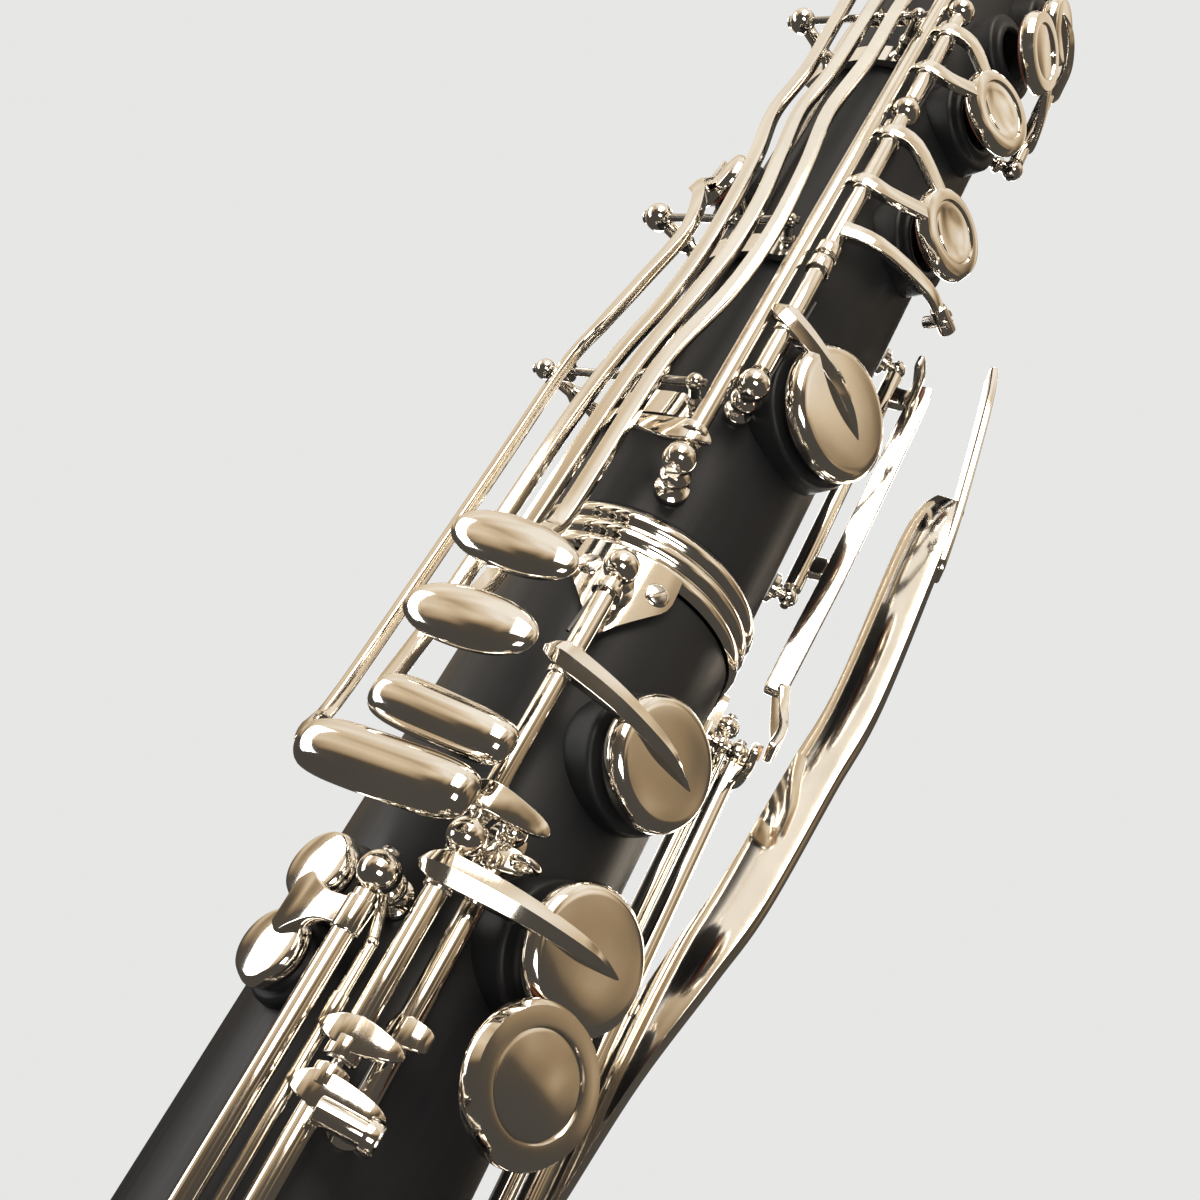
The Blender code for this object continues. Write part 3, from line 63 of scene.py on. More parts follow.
BODY_OF = {n: body for body, nodes in frame["record"]["behaviour"]["bodies"].items() for n in nodes}

MM = 0.001
GAP = 0.3
RING_Z, RING_RHO = -45.0, 30.5
LOWER_R, UPPER_R, BORE_R = 20.0, 19.6, 12.0
UPPER_TOP, LOWER_END = 345.0, -415.0
COLLAR_R, COLLAR_LENGTH, COLLAR_SEAT_R = 21.2, 10.0, 18.4
TOP_RING_R, TOP_RING_LENGTH, NECK_SOCKET_R = 22.0, 11.0, 11.8
STEEL_R, TUBE_R, BALL_R, POST_FOOT_R = 0.75, 1.6, 2.75, 2.8
POST_CLEAR = BALL_R + GAP
CUP_THICK, PLATE_THICK = 4.4, 3.6
ARM_W, ARM_T = 4.2, 1.5
BACK = Vector((0.0, 1.0, 0.0))
UP = Vector((0.0, 0.0, 1.0))
X = Vector((1.0, 0.0, 0.0))


# ---------------------------------------------------------------- places and directions

def at(phi, rho, z):
    a = math.radians(phi)
    return Vector((rho * math.sin(a), -rho * math.cos(a) - RING_RHO, z - RING_Z)) * MM


def outward(phi):
    a = math.radians(phi)
    return Vector((math.sin(a), -math.cos(a), 0.0))


def around(phi):
    a = math.radians(phi)
    return Vector((math.cos(a), math.sin(a), 0.0))


def away_from_bore(point):
    return Vector((point.x, point.y + RING_RHO * MM, 0.0)).normalized()


def facing(direction, side=None):
    z = direction.normalized()
    y = side or UP
    if abs(z.dot(y)) > 0.99:
        y = BACK
    x = y.cross(z).normalized()
    return Matrix((x, z.cross(x), z)).transposed()


# ---------------------------------------------------------------- shapes: (points, faces, material)

def skin(rings, mat, closed=True, start=True, end=True):
    """Faces between rings of points, with flat ends."""
    points, faces = [], []
    count = len(rings[0])
    for ring in rings:
        points += ring
    for i in range(len(rings) - 1):
        for k in range(count if closed else count - 1):
            n = (k + 1) % count
            faces.append((i * count + k, i * count + n, (i + 1) * count + n, (i + 1) * count + k))
    if start:
        faces.append(tuple(reversed(range(count))))
    if end:
        last = (len(rings) - 1) * count
        faces.append(tuple(range(last, last + count)))
    return points, faces, mat


def fillet(profile, radius, steps=3):
    """A polyline with its inner corners rounded."""
    points = [Vector(p) for p in profile]
    out = [points[0]]
    for a, b, c in zip(points, points[1:], points[2:]):
        back, on = a - b, c - b
        r = min(radius, back.length * 0.45, on.length * 0.45)
        if r < 1e-4:
            out.append(b)
            continue
        p, q = b + back.normalized() * r, b + on.normalized() * r
        for i in range(steps + 1):
            t = i / steps
            out.append(p * (1 - t) ** 2 + b * (2 * t * (1 - t)) + q * t ** 2)
    out.append(points[-1])
    return out


def turned(profile, centre, direction, sides=32, mat="plating", round_by=0.0):
    """A (radius, height) profile, turned about direction through centre."""
    frame_m = facing(direction)
    x, y, z = frame_m.col[0], frame_m.col[1], frame_m.col[2]
    line = fillet(profile, round_by) if round_by else [Vector(p) for p in profile]
    points, faces, rows = [], [], []
    for p in line:
        if p[0] < 1e-4:
            rows.append([len(points)])
            points.append(centre + z * (p[1] * MM))
            continue
        rows.append(list(range(len(points), len(points) + sides)))
        for k in range(sides):
            a = 2 * math.pi * k / sides
            points.append(centre + (x * math.cos(a) + y * math.sin(a)) * (p[0] * MM) + z * (p[1] * MM))
    for a, b in zip(rows, rows[1:]):
        if len(a) == 1 and len(b) == 1:
            continue
        for k in range(sides):
            n = (k + 1) % sides
            if len(a) == 1:
                faces.append((a[0], b[k], b[n]))
            elif len(b) == 1:
                faces.append((a[k], b[0], a[n]))
            else:
                faces.append((a[k], b[k], b[n], a[n]))
    return points, faces, mat


def rod(start, end, radius, sides=20, mat="plating", end_radius=None, bevel=0.18):
    """A straight round bar with softened ends."""
    axis = end - start
    length = axis.length / MM
    last = radius if end_radius is None else end_radius
    return turned([(0, 0), (radius, 0), (last, length), (0, length)], start, axis, sides, mat, bevel)


def ball(centre, radius, mat="plating", sides=24):
    half = sides // 2
    profile = [(radius * math.sin(math.pi * i / half), radius * math.cos(math.pi * i / half)) for i in range(half + 1)]
    return turned(profile, centre, UP, sides, mat)


def smooth_path(values, density=4):
    """Catmull-Rom values through the given ones."""
    out = []
    last = len(values) - 1
    for i in range(last):
        a, b, c, d = values[max(i - 1, 0)], values[i], values[i + 1], values[min(i + 2, last)]
        for s in range(density):
            t = s / density
            out.append([0.5 * ((2 * q) + (r - p) * t + (2 * p - 5 * q + 4 * r - w) * t * t + (3 * q - p - 3 * r + w) * t ** 3)
                        for p, q, r, w in zip(a, b, c, d)])
    out.append(list(values[-1]))
    return out


def section(width, thick, corner, ridge=0.0, steps=3):
    """A rounded rectangle as (across, lift) pairs; ridge lifts a roof along its middle."""
    c = min(corner, width * 0.48, thick * 0.48)
    out = []
    top = thick / 2
    for sx, sy, begin in ((1, 1, 0), (-1, 1, 90), (-1, -1, 180), (1, -1, 270)):
        if ridge and begin == 90:
            peak = top + ridge * min(1.0, width / 2.2)
            out += [(0.08, peak - 0.03), (0.0, peak), (-0.08, peak - 0.03)]
        for i in range(steps + 1):
            a = math.radians(begin + 90 * i / steps)
            out.append((sx * (width / 2 - c) + c * math.cos(a), sy * (thick / 2 - c) + c * math.sin(a)))
    return out


def bar_through(points, sections, up=None, corner=0.35, mat="plating", density=4, ends=0.8, crown=0.0, ridge=0.0):
    """A forged bar through points, with rounded edges and ends; its wide face looks along up."""
    values = [[*(p / MM), w, t] for p, (w, t) in zip(points, sections)]
    values = smooth_path(values, density)
    centres = [Vector(v[:3]) * MM for v in values]
    last = len(values) - 1
    rings = []
    for i, v in enumerate(values):
        along = (centres[min(i + 1, last)] - centres[max(i - 1, 0)]).normalized()
        lift = up if up else away_from_bore(centres[i])
        lift = (lift - along * lift.dot(along)).normalized()
        across = along.cross(lift)
        shape = section(max(v[3], 0.3), max(v[4], 0.3), corner, ridge)
        steps = (0.0,)
        if i in (0, last) and ends:
            steps = (0.0, 0.45, 0.8, 0.97) if i == last else (0.97, 0.8, 0.45, 0.0)
        for s in steps:
            grow = min(ends, v[4] * 0.5, v[3] * 0.5) * (1 - math.sqrt(1 - s * s)) if s else 0.0
            shift = min(ends, v[4] * 0.5, v[3] * 0.5) * (s - 1) * (1 if i == last else -1) if i in (0, last) and ends else 0.0
            ring = []
            for a, h in shape:
                w_scale = max(0.1, 1 - 2 * grow / max(v[3], 0.3))
                t_scale = max(0.1, 1 - 2 * grow / max(v[4], 0.3))
                h = h + (crown * (1 - (2 * a / max(v[3], 0.3)) ** 2) if h > 0 else 0)
                ring.append(centres[i] + along * (shift * MM) + across * (a * w_scale * MM) + lift * (h * t_scale * MM))
            rings.append(ring)
    return skin(rings, mat)


def bar(stations, up=None, **more):
    return bar_through([at(*s[:3]) for s in stations], [s[3:5] for s in stations], up, **more)


def tube_along(points, radius, sides=20, mat="plating", density=4, caps=True, radii=None):
    """A round tube through points; radii may vary along it."""
    radii = radii or [radius] * len(points)
    values = smooth_path([[*(p / MM), r] for p, r in zip(points, radii)], density) if density > 1 else \
        [[*(p / MM), r] for p, r in zip(points, radii)]
    centres = [Vector(v[:3]) * MM for v in values]
    last = len(values) - 1
    rings, side = [], None
    for i, v in enumerate(values):
        along = (centres[min(i + 1, last)] - centres[max(i - 1, 0)]).normalized()
        if side is None:
            side = along.orthogonal().normalized()
        side = (side - along * side.dot(along)).normalized()
        other = along.cross(side)
        rings.append([centres[i] + (side * math.cos(2 * math.pi * k / sides) + other * math.sin(2 * math.pi * k / sides))
                      * (v[3] * MM) for k in range(sides)])
    return skin(rings, mat, start=caps, end=caps)


def oval(a, b, width, thick, lift, power=2.2, mat="plating", rings=26, sides=28, flat=0.55):
    """A finger touch from a to b: domed above, flatter below, its ends rounder as power falls to 2."""
    along = (b - a).normalized()
    lift = (lift - along * lift.dot(along)).normalized()
    across = along.cross(lift)
    out = []
    for i in range(rings + 1):
        t = -math.cos(math.pi * i / rings)
        size = max(1e-3, 1 - abs(t) ** power) ** (1 / power)
        middle = a.lerp(b, (t + 1) / 2)
        ring = []
        for k in range(sides):
            c, s = math.cos(2 * math.pi * k / sides), math.sin(2 * math.pi * k / sides)
            u = c * width / 2 * size
            v = s * thick / 2 * size * (1.0 if s > 0 else flat)
            ring.append(middle + across * (u * MM) + lift * (v * MM))
        out.append(ring)
    return skin(out, mat)


def plate_on_body(rows, inner, outer, mat="plating", across=10):
    """A thin plate wrapped on the body: rows of (z, lowest phi, highest phi)."""
    grid_o, grid_i = [], []
    for z, p0, p1 in rows:
        phis = [p0 + (p1 - p0) * k / across for k in range(across + 1)]
        grid_o.append([at(p, outer, z) for p in phis])
        grid_i.append([at(p, inner, z) for p in phis])
    rings = [o + list(reversed(i)) for o, i in zip(grid_o, grid_i)]
    return skin(rings, mat)


def slotted(centre, direction, radius, height, turn=20.0, mat="screw"):
    """A screw head with a real slot: a low drum and two raised halves."""
    m = facing(direction)
    x, y, z = m.col[0], m.col[1], m.col[2]
    base = height * 0.45
    parts = [turned([(0, base), (radius, base), (radius, 0), (0, 0)], centre, direction, 24, mat)]
    for side in (0, 180):
        outline = []
        for i in range(13):
            a = math.radians(turn + side + 12 + 156 * i / 12)
            outline.append((radius * math.cos(a), radius * math.sin(a)))
        low = [centre + (x * u + y * v) * MM + z * (base * 0.6 * MM) for u, v in outline]
        mid = [centre + (x * u + y * v) * MM + z * ((height - 0.12) * MM) for u, v in outline]
        top = [centre + (x * u + y * v) * (0.93 * MM) + z * (height * MM) for u, v in outline]
        parts.append(skin([low, mid, top], mat))
    return parts


def knurled(centre, direction, radius, height, teeth=28, mat="plating"):
    m = facing(direction)
    x, y, z = m.col[0], m.col[1], m.col[2]
    rings = []
    for h, s in ((0, 0.9), (0.12, 1.0), (0.88, 1.0), (1, 0.9)):
        ring = []
        for k in range(teeth * 2):
            r = radius * s * (1.0 if k % 2 else 0.93)
            a = math.pi * k / teeth
            ring.append(centre + (x * math.cos(a) + y * math.sin(a)) * (r * MM) + z * (h * height * MM))
        rings.append(ring)
    return skin(rings, mat)


# ---------------------------------------------------------------- materials

class Nodes:
    """A small helper that adds and links shader nodes."""

    def __init__(self, name):
        self.material = bpy.data.materials.new(name)
        self.material.use_nodes = True
        self.tree = self.material.node_tree
        self.shader = self.tree.nodes["Principled BSDF"]
        self.where = self.add("ShaderNodeTexCoord").outputs["Object"]

    def add(self, kind, links=(), **settings):
        node = self.tree.nodes.new(kind)
        for key, value in settings.items():
            if key in node.inputs:
                node.inputs[key].default_value = value
            else:
                setattr(node, key, value)
        for socket, output in links:
            self.tree.links.new(output, node.inputs[socket])
        return node

    def scaled(self, x, y, z):
        mapping = self.add("ShaderNodeMapping", [("Vector", self.where)])
        mapping.inputs["Scale"].default_value = (x, y, z)
        return mapping.outputs["Vector"]

    def noise(self, vector, scale, detail=4.0, roughness=0.55):
        return self.add("ShaderNodeTexNoise", [("Vector", vector)], Scale=scale, Detail=detail,
                        Roughness=roughness).outputs["Fac"]

    def ramp(self, value, stops):
        node = self.add("ShaderNodeValToRGB", [("Fac", value)])
        ramp = node.color_ramp
        while len(ramp.elements) < len(stops):
            ramp.elements.new(0.5)
        for element, (place, colour) in zip(ramp.elements, stops):
            element.position = place
            element.color = (*colour, 1.0) if isinstance(colour, tuple) else (colour, colour, colour, 1.0)
        return node.outputs["Color"]

    def mix(self, factor, a, b, blend="MIX"):
        node = self.add("ShaderNodeMix", data_type="RGBA", blend_type=blend)
        for index, value in ((0, factor), (6, a), (7, b)):
            if isinstance(value, (int, float)):
                node.inputs[index].default_value = value
            elif isinstance(value, tuple):
                node.inputs[index].default_value = (*value, 1.0)
            else:
                self.tree.links.new(value, node.inputs[index])
        return node.outputs[2]

    def set(self, **sockets):
        for key, value in sockets.items():
            socket = self.shader.inputs[key.replace("_", " ")]
            if isinstance(value, (int, float)):
                socket.default_value = value
            elif isinstance(value, tuple):
                socket.default_value = (*value, 1.0)
            else:
                self.tree.links.new(value, socket)

    def bump(self, height, strength, distance=0.0002):
        node = self.add("ShaderNodeBump", [("Height", height)], Strength=strength, Distance=distance)
        self.tree.links.new(node.outputs["Normal"], self.shader.inputs["Normal"])


def metal(name, light, dark, tarnish, rough, scratches):
    """Polished metal: cloudy polish, fine wiping marks, and a film left in the inner corners."""
    n = Nodes(name)
    cloud = n.noise(n.where, 90.0, 5.0)
    fine = n.noise(n.scaled(1.0, 1.0, 0.12), 2600.0, 3.0)
    edges = n.add("ShaderNodeNewGeometry").outputs["Pointiness"]
    tone = n.ramp(cloud, [(0.25, dark), (0.7, light)])
    corner = n.ramp(edges, [(0.40, 1.0), (0.485, 0.0)])
    n.set(Base_Color=n.mix(corner, tone, tarnish), Metallic=1.0,
          Roughness=n.ramp(n.mix(0.5, cloud, fine), [(0.3, rough), (0.75, rough * 2.0)]))
    n.bump(fine, scratches, 0.00003)
    return n.material


def wood():
    """Black-stained grenadilla, sanded matte: faint long grain and open pores."""
    n = Nodes("blackwood")
    grain = n.noise(n.scaled(1.0, 1.0, 0.045), 620.0, 6.0, 0.65)
    figure = n.noise(n.scaled(1.0, 1.0, 0.1), 60.0, 3.0)
    pores = n.ramp(n.noise(n.scaled(1.0, 1.0, 0.03), 1900.0, 2.0), [(0.60, 0.0), (0.70, 1.0)])
    n.set(Base_Color=n.mix(n.mix(0.5, grain, figure), (0.0035, 0.0037, 0.0042), (0.010, 0.0103, 0.0115)), Metallic=0.0,
          Roughness=n.ramp(grain, [(0.3, 0.40), (0.8, 0.54)]), Specular_IOR_Level=0.27)
    n.bump(n.mix(0.3, grain, pores), 0.12, 0.0001)
    return n.material


def leather():
    n = Nodes("pad_leather")
    cells = n.add("ShaderNodeTexVoronoi", [("Vector", n.where)], Scale=2600.0).outputs["Distance"]
    stain = n.noise(n.where, 300.0, 4.0)
    n.set(Base_Color=n.mix(stain, (0.10, 0.030, 0.014), (0.27, 0.085, 0.038)), Roughness=n.ramp(stain, [(0.2, 0.45), (0.9, 0.7)]))
    n.bump(cells, 0.5, 0.0001)
    return n.material


def cork():
    n = Nodes("cork")
    cells = n.add("ShaderNodeTexVoronoi", [("Vector", n.where)], Scale=1500.0).outputs["Distance"]
    spots = n.ramp(n.noise(n.where, 700.0, 5.0), [(0.42, 1.0), (0.52, 0.0)])
    tone = n.mix(n.noise(n.where, 240.0), (0.46, 0.27, 0.14), (0.62, 0.40, 0.22))
    n.set(Base_Color=n.mix(spots, tone, (0.16, 0.08, 0.04)), Roughness=n.ramp(cells, [(0.0, 0.75), (0.6, 0.95)]))
    n.bump(n.mix(0.5, cells, spots), 0.7, 0.0002)
    return n.material


def hard_rubber():
    n = Nodes("hard_rubber")
    haze = n.noise(n.where, 130.0, 5.0)
    fine = n.noise(n.where, 3000.0, 2.0)
    n.set(Base_Color=n.mix(haze, (0.010, 0.010, 0.011), (0.022, 0.020, 0.018)),
          Roughness=n.ramp(n.mix(0.5, haze, fine), [(0.3, 0.10), (0.8, 0.24)]))
    n.bump(fine, 0.04, 0.00005)
    return n.material


def cane():
    n = Nodes("cane")
    fibres = n.noise(n.scaled(1.0, 0.03, 0.06), 2600.0, 4.0)
    flecks = n.ramp(n.noise(n.scaled(1.0, 0.10, 0.2), 900.0, 2.0), [(0.62, 0.0), (0.70, 1.0)])
    tone = n.mix(fibres, (0.60, 0.43, 0.20), (0.83, 0.68, 0.40))
    n.set(Base_Color=n.mix(flecks, tone, (0.42, 0.26, 0.10)), Roughness=n.ramp(fibres, [(0.2, 0.45), (0.9, 0.65)]))
    n.bump(fibres, 0.35, 0.0001)
    return n.material


def soft_rubber():
    n = Nodes("soft_rubber")
    dust = n.noise(n.where, 400.0, 6.0)
    n.set(Base_Color=n.mix(dust, (0.016, 0.016, 0.017), (0.055, 0.053, 0.05)), Roughness=n.ramp(dust, [(0.3, 0.65), (0.8, 0.9)]))
    n.bump(dust, 0.35, 0.0002)
    return n.material


def floor_look():
    n = Nodes("pale_paper")
    n.set(Base_Color=n.mix(n.noise(n.where, 6.0), (0.60, 0.60, 0.595), (0.64, 0.64, 0.635)), Roughness=0.9)
    return n.material


LOOKS = {
    "plating": metal("warm_nickel", (0.90, 0.855, 0.78), (0.80, 0.755, 0.68), (0.42, 0.36, 0.28), 0.055, 0.028),
    "screw": metal("screw_steel", (0.62, 0.60, 0.57), (0.48, 0.46, 0.44), (0.16, 0.14, 0.12), 0.16, 0.12),
    "dark": metal("blued_steel", (0.24, 0.24, 0.26), (0.14, 0.14, 0.16), (0.05, 0.05, 0.05), 0.22, 0.10),
    "wood": wood(), "pad": leather(), "cork": cork(), "ebonite": hard_rubber(), "cane": cane(), "rubber": soft_rubber(),
}


def finish(name, shapes, pivot=None, turn=0.0, axis=UP, sharp=40.0):
    """One piece that stands for the solid model's node of that name and moves with its body."""
    points, faces, indices, names = [], [], [], []
    for shape_points, shape_faces, mat in shapes:
        if mat not in names:
            names.append(mat)
        base = len(points)
        points += shape_points
        faces += [tuple(base + i for i in f) for f in shape_faces]
        indices += [names.index(mat)] * len(shape_faces)
    mesh = bpy.data.meshes.new("look_" + name)
    mesh.from_pydata(points, [], faces)
    for mat in names:
        mesh.materials.append(LOOKS[mat])
    mesh.polygons.foreach_set("material_index", indices)
    bm = bmesh.new()
    bm.from_mesh(mesh)
    bmesh.ops.recalc_face_normals(bm, faces=bm.faces)
    bm.to_mesh(mesh)
    bm.free()
    if turn:
        mesh.transform(Matrix.Translation(pivot) @ Matrix.Rotation(math.radians(turn), 4, axis) @ Matrix.Translation(-pivot))
    obj = bpy.data.objects.new("look_" + name, mesh)
    bpy.context.scene.collection.objects.link(obj)
    mesh.shade_smooth()
    mesh.set_sharp_from_angle(angle=math.radians(sharp))
    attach(obj, BODY_OF[name])
    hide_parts(name)
    return obj


# ---------------------------------------------------------------- keywork pieces

def post(phi, rho, z, wood_r, ball_r=BALL_R, foot_r=POST_FOOT_R, mat="plating"):
    """A ball on a turned stem with a bead, on a round flange."""
    foot = wood_r + GAP
    r = ball_r
    profile = [(0, rho + r)]
    profile += [(r * math.sin(math.radians(a)), rho + r * math.cos(math.radians(a))) for a in range(12, 145, 12)]
    low = rho - 0.82 * r
    span = low - foot
    profile += [(0.56 * r, low - 0.02 * span), (0.56 * r, low - 0.14 * span), (0.86 * r, low - 0.24 * span),
                (0.92 * r, low - 0.33 * span), (0.86 * r, low - 0.42 * span), (0.54 * r, low - 0.50 * span),
                (0.50 * r, low - 0.62 * span), (0.62 * r, foot + 1.5), (foot_r * 0.86, foot + 1.0),
                (foot_r, foot + 0.75), (foot_r, foot), (0, foot)]
    return turned(profile, at(phi, 0, z), outward(phi), 28, mat)


def posts_and_rod(name, lines, wood_r, ball_r=BALL_R, foot_r=POST_FOOT_R, base=(), extra=()):
    parts = list(base) + list(extra)
    for phi, rho, heights in lines:
        low, high = min(heights), max(heights)
        parts.append(rod(at(phi, rho, low), at(phi, rho, high), STEEL_R, 12, "screw"))
        parts += [post(phi, rho, z, wood_r, ball_r, foot_r) for z in heights]
        parts += slotted(at(phi, rho, high + ball_r * 0.88), UP, ball_r * 0.44, 0.62, 35)
        parts += slotted(at(phi, rho, low - ball_r * 0.88), -UP, ball_r * 0.44, 0.62, 70)
    finish(name, parts)


def cup(phi, z, radius, seat, thick=CUP_THICK, style="dome"):
    """A key cup with its leather pad: a domed cup, or a finger plate with a sunk disc or a dish."""
    low, top = seat + GAP, seat + GAP + thick
    r = radius
    pad = turned([(0, low), (r - 1.3, low), (r - 0.75, low + 0.35), (r - 0.6, low + 1.1), (0, low + 1.1)],
                 at(phi, 0, z), outward(phi), 40, "pad", 0.3)
    skirt = [(r - 0.25, top - 1.15), (r, top - 1.9), (r, low + 1.2), (r - 0.12, low + 0.95), (r - 0.55, low + 0.95)]
    if style == "dome":
        head = [(0, top), (0.30 * r, top - 0.02), (0.58 * r, top - 0.10), (0.80 * r, top - 0.26), (0.875 * r, top - 0.36),
                (0.90 * r, top - 0.50)]
    elif style == "sunk":
        head = [(0, top - 0.42), (0.60 * r, top - 0.30), (0.655 * r, top - 0.45), (0.675 * r, top - 0.04),
                (0.80 * r, top), (0.92 * r, top - 0.10)]
    else:
        head = [(0, top - 1.3), (0.25 * r, top - 1.2), (0.50 * r, top - 0.85), (0.62 * r, top - 0.40), (0.665 * r, top - 0.48),
                (0.69 * r, top), (0.84 * r, top + 0.02), (0.93 * r, top - 0.35)]
    shell = turned(head + skirt, at(phi, 0, z), outward(phi), 56, "plating")
    return [shell, pad]


def hinge_tube(phi, rho, low, high, mat="plating"):
    return rod(at(phi, rho, low), at(phi, rho, high), TUBE_R, 24, mat, bevel=0.12)


def collar_on(phi, rho, z, r=2.05, length=1.6):
    return rod(at(phi, rho, z - length / 2), at(phi, rho, z + length / 2), r, 24, "plating", bevel=0.25)


def key(name, line, span, parts, stands_open=0.0):
    phi, rho = line
    low, high = span
    shapes = [hinge_tube(phi, rho, low, high)]
    for part in parts:
        shapes += part if isinstance(part, list) else [part]
    finish(name, shapes, at(phi, rho, (low + high) / 2), -stands_open)


def arm(line, z, cup_phi, cup_z, cup_top, reach=8.0, rise=0.0):
    """A flat arm that clasps the hinge tube with a pointed ear and tapers to a spear point on the cup."""
    phi, rho = line
    sign = 1 if cup_phi > phi else -1
    over = cup_top + ARM_T / 2 - 0.5
    middle = (phi + cup_phi) / 2
    slope = (cup_z - z) / (cup_phi - phi)
    tip = cup_phi + sign * reach

    def z_at(p):
        return z + slope * (p - phi)
    ear = phi - sign * 7.0
    return bar([
        (ear, rho + 0.5, z_at(ear), 1.0, 1.2), (phi - sign * 3.4, rho + 1.1, z_at(phi - sign * 3.4), 3.4, 1.9),
        (phi + sign * 1.5, rho + 1.1, z_at(phi + sign * 1.5), ARM_W, 2.0),
        (middle - sign * 3, max(over, rho + 0.6) + rise, z_at(middle - sign * 3), ARM_W * 0.92, ARM_T),
        (cup_phi - sign * 7, over, z_at(cup_phi - sign * 7), ARM_W * 0.72, ARM_T),
        (cup_phi + sign * reach * 0.2, over - 0.05, z_at(cup_phi + sign * reach * 0.2), ARM_W * 0.42, ARM_T * 0.85),
        (tip, over - 0.25, z_at(tip), 0.4, ARM_T * 0.5),
    ], corner=0.12, ends=0.3, density=5, ridge=0.6)


def plate_arm(line, z, cup_phi, cup_z, cup_low, radius):
    """A yoke that runs from the hinge tube to the side of a finger plate."""
    phi, rho = line
    sign = 1 if cup_phi > phi else -1
    edge = cup_phi - sign * math.degrees(math.asin(min(0.95, (radius - 1.0) / (cup_low + 1.5))))
    return bar([
        (phi - sign * 6.5, rho + 0.5, z, 1.2, 1.2), (phi - sign * 1.5, rho + 1.2, z, 3.6, 2.0),
        (phi + sign * 3.0, rho + 1.2, z, ARM_W, 1.9),
        ((phi + edge) / 2, max(rho + 0.6, math.hypot(cup_low + 2.0, radius)), (z + cup_z) / 2, ARM_W * 0.95, 1.6),
        (edge, math.hypot(cup_low + 2.0, radius - 1.0), cup_z, ARM_W * 1.2, 1.5)], corner=0.25, ends=0.3)


UPPER_SEATS = {
    "big": (-2.0, 34.5, 11.8, 24.2), "ring_lower": (6.0, 86.9, 8.9, 24.0), "ring_upper": (1.0, 124.0, 8.9, 24.0),
    "first_finger": (3.6, 151.0, 8.6, 23.8), "spoon": (17.0, 169.5, 7.4, 23.8), "trill": (0.0, 191.0, 7.4, 23.4),
    "throat_a": (4.0, 249.0, 7.2, 23.4), "throat_g_sharp": (4.0, 276.0, 7.2, 23.4),
    "thumb": (180.0, 150.0, 8.2, 23.4), "register": (180.0, 306.0, 5.6, 23.2), "side_1": (-106.0, 86.0, 6.2, 23.4),
    "side_2": (-84.0, 176.0, 6.6, 23.4), "side_3": (-76.0, 208.0, 6.6, 23.4), "side_4": (-66.0, 238.0, 6.6, 23.4),
}
LOWER_SEATS = {
    "cup_1": (-2.0, -38.0, 9.8, 24.0), "cup_2": (3.0, -68.0, 9.9, 24.4),
    "plate_2": (2.0, -124.0, 9.4, 24.4), "plate_3": (2.0, -160.0, 9.4, 24.4), "below_plate_3": (2.0, -186.0, 11.0, 23.6),
    "left_1": (-82.0, -72.5, 5.5, 22.8), "left_2": (-82.0, -84.2, 5.5, 22.8), "low_g_sharp": (4.0, -216.0, 11.5, 23.6),
    "low_f": (4.0, -246.0, 12.5, 23.6), "low_f_sharp": (8.0, -284.0, 13.0, 23.6), "low_e": (0.0, -326.0, 13.5, 23.6),
    "low_e_flat": (6.0, -372.0, 13.5, 23.6),
}


def chimney(phi, z, r, seat):
    """The raised wooden seat of a tone hole, with its bored hole and bedding rim."""
    return turned([(0, 12.5), (0.6 * r, 12.5), (0.6 * r, seat - 0.5), (0.68 * r, seat), (0.76 * r, seat), (0.84 * r, seat - 0.7),
                   (r + 0.1, seat - 0.9), (r + 0.5, seat - 1.5), (r + 0.5, 15.0)], at(phi, 0, z), outward(phi), 48, "wood", 0.35)


def cup_at(seats, name, thick=CUP_THICK, style="dome"):
    phi, z, r, seat = seats[name]
    return cup(phi, z, r, seat, thick, style)


def arm_to(line, z, seats, name, reach=8.0, thick=CUP_THICK, rise=0.0):
    phi, cup_z, _, seat = seats[name]
    return arm(line, z, phi, cup_z, seat + GAP + thick, reach, rise)


def yoke_to(line, z, seats, name):
    phi, cup_z, r, seat = seats[name]
    return plate_arm(line, z, phi, cup_z, seat + GAP, r)


# ---------------------------------------------------------------- wooden bodies and rings

AXIS = at(0, 0, 0)


def bead(z, low_r, high_r, height, steps=7):
    """Points of a half-round bead on a turned ring, from its top down."""
    return [(low_r + (high_r - low_r) * math.sin(math.pi * i / steps) ** 0.7, z - height * i / steps) for i in range(steps + 1)]


def make_bodies():
    upper = turned([(BORE_R, UPPER_TOP - 26), (NECK_SOCKET_R + 1.6, UPPER_TOP - 24), (NECK_SOCKET_R + 1.6, UPPER_TOP),
                    (COLLAR_SEAT_R, UPPER_TOP), (COLLAR_SEAT_R, UPPER_TOP - TOP_RING_LENGTH - GAP),
                    (UPPER_R, UPPER_TOP - TOP_RING_LENGTH - GAP), (UPPER_R, GAP), (14.2, GAP), (14.2, -26.0), (BORE_R, -26.0)],
                   AXIS, UP, 128, "wood", 0.45)
    finish("upper_joint", [upper] + [chimney(*s) for s in UPPER_SEATS.values()], sharp=50)
    lower = turned([(15.4, -27), (15.4, -GAP), (COLLAR_SEAT_R, -GAP), (COLLAR_SEAT_R, -COLLAR_LENGTH - GAP),
                    (LOWER_R, -COLLAR_LENGTH - GAP), (LOWER_R, LOWER_END + 14), (13.6, LOWER_END + 14),
                    (13.6, LOWER_END - 7.5), (BORE_R, LOWER_END - 7.5)], AXIS, UP, 128, "wood", 0.45)
    finish("lower_joint", [lower] + [chimney(*s) for s in LOWER_SEATS.values()], sharp=50)


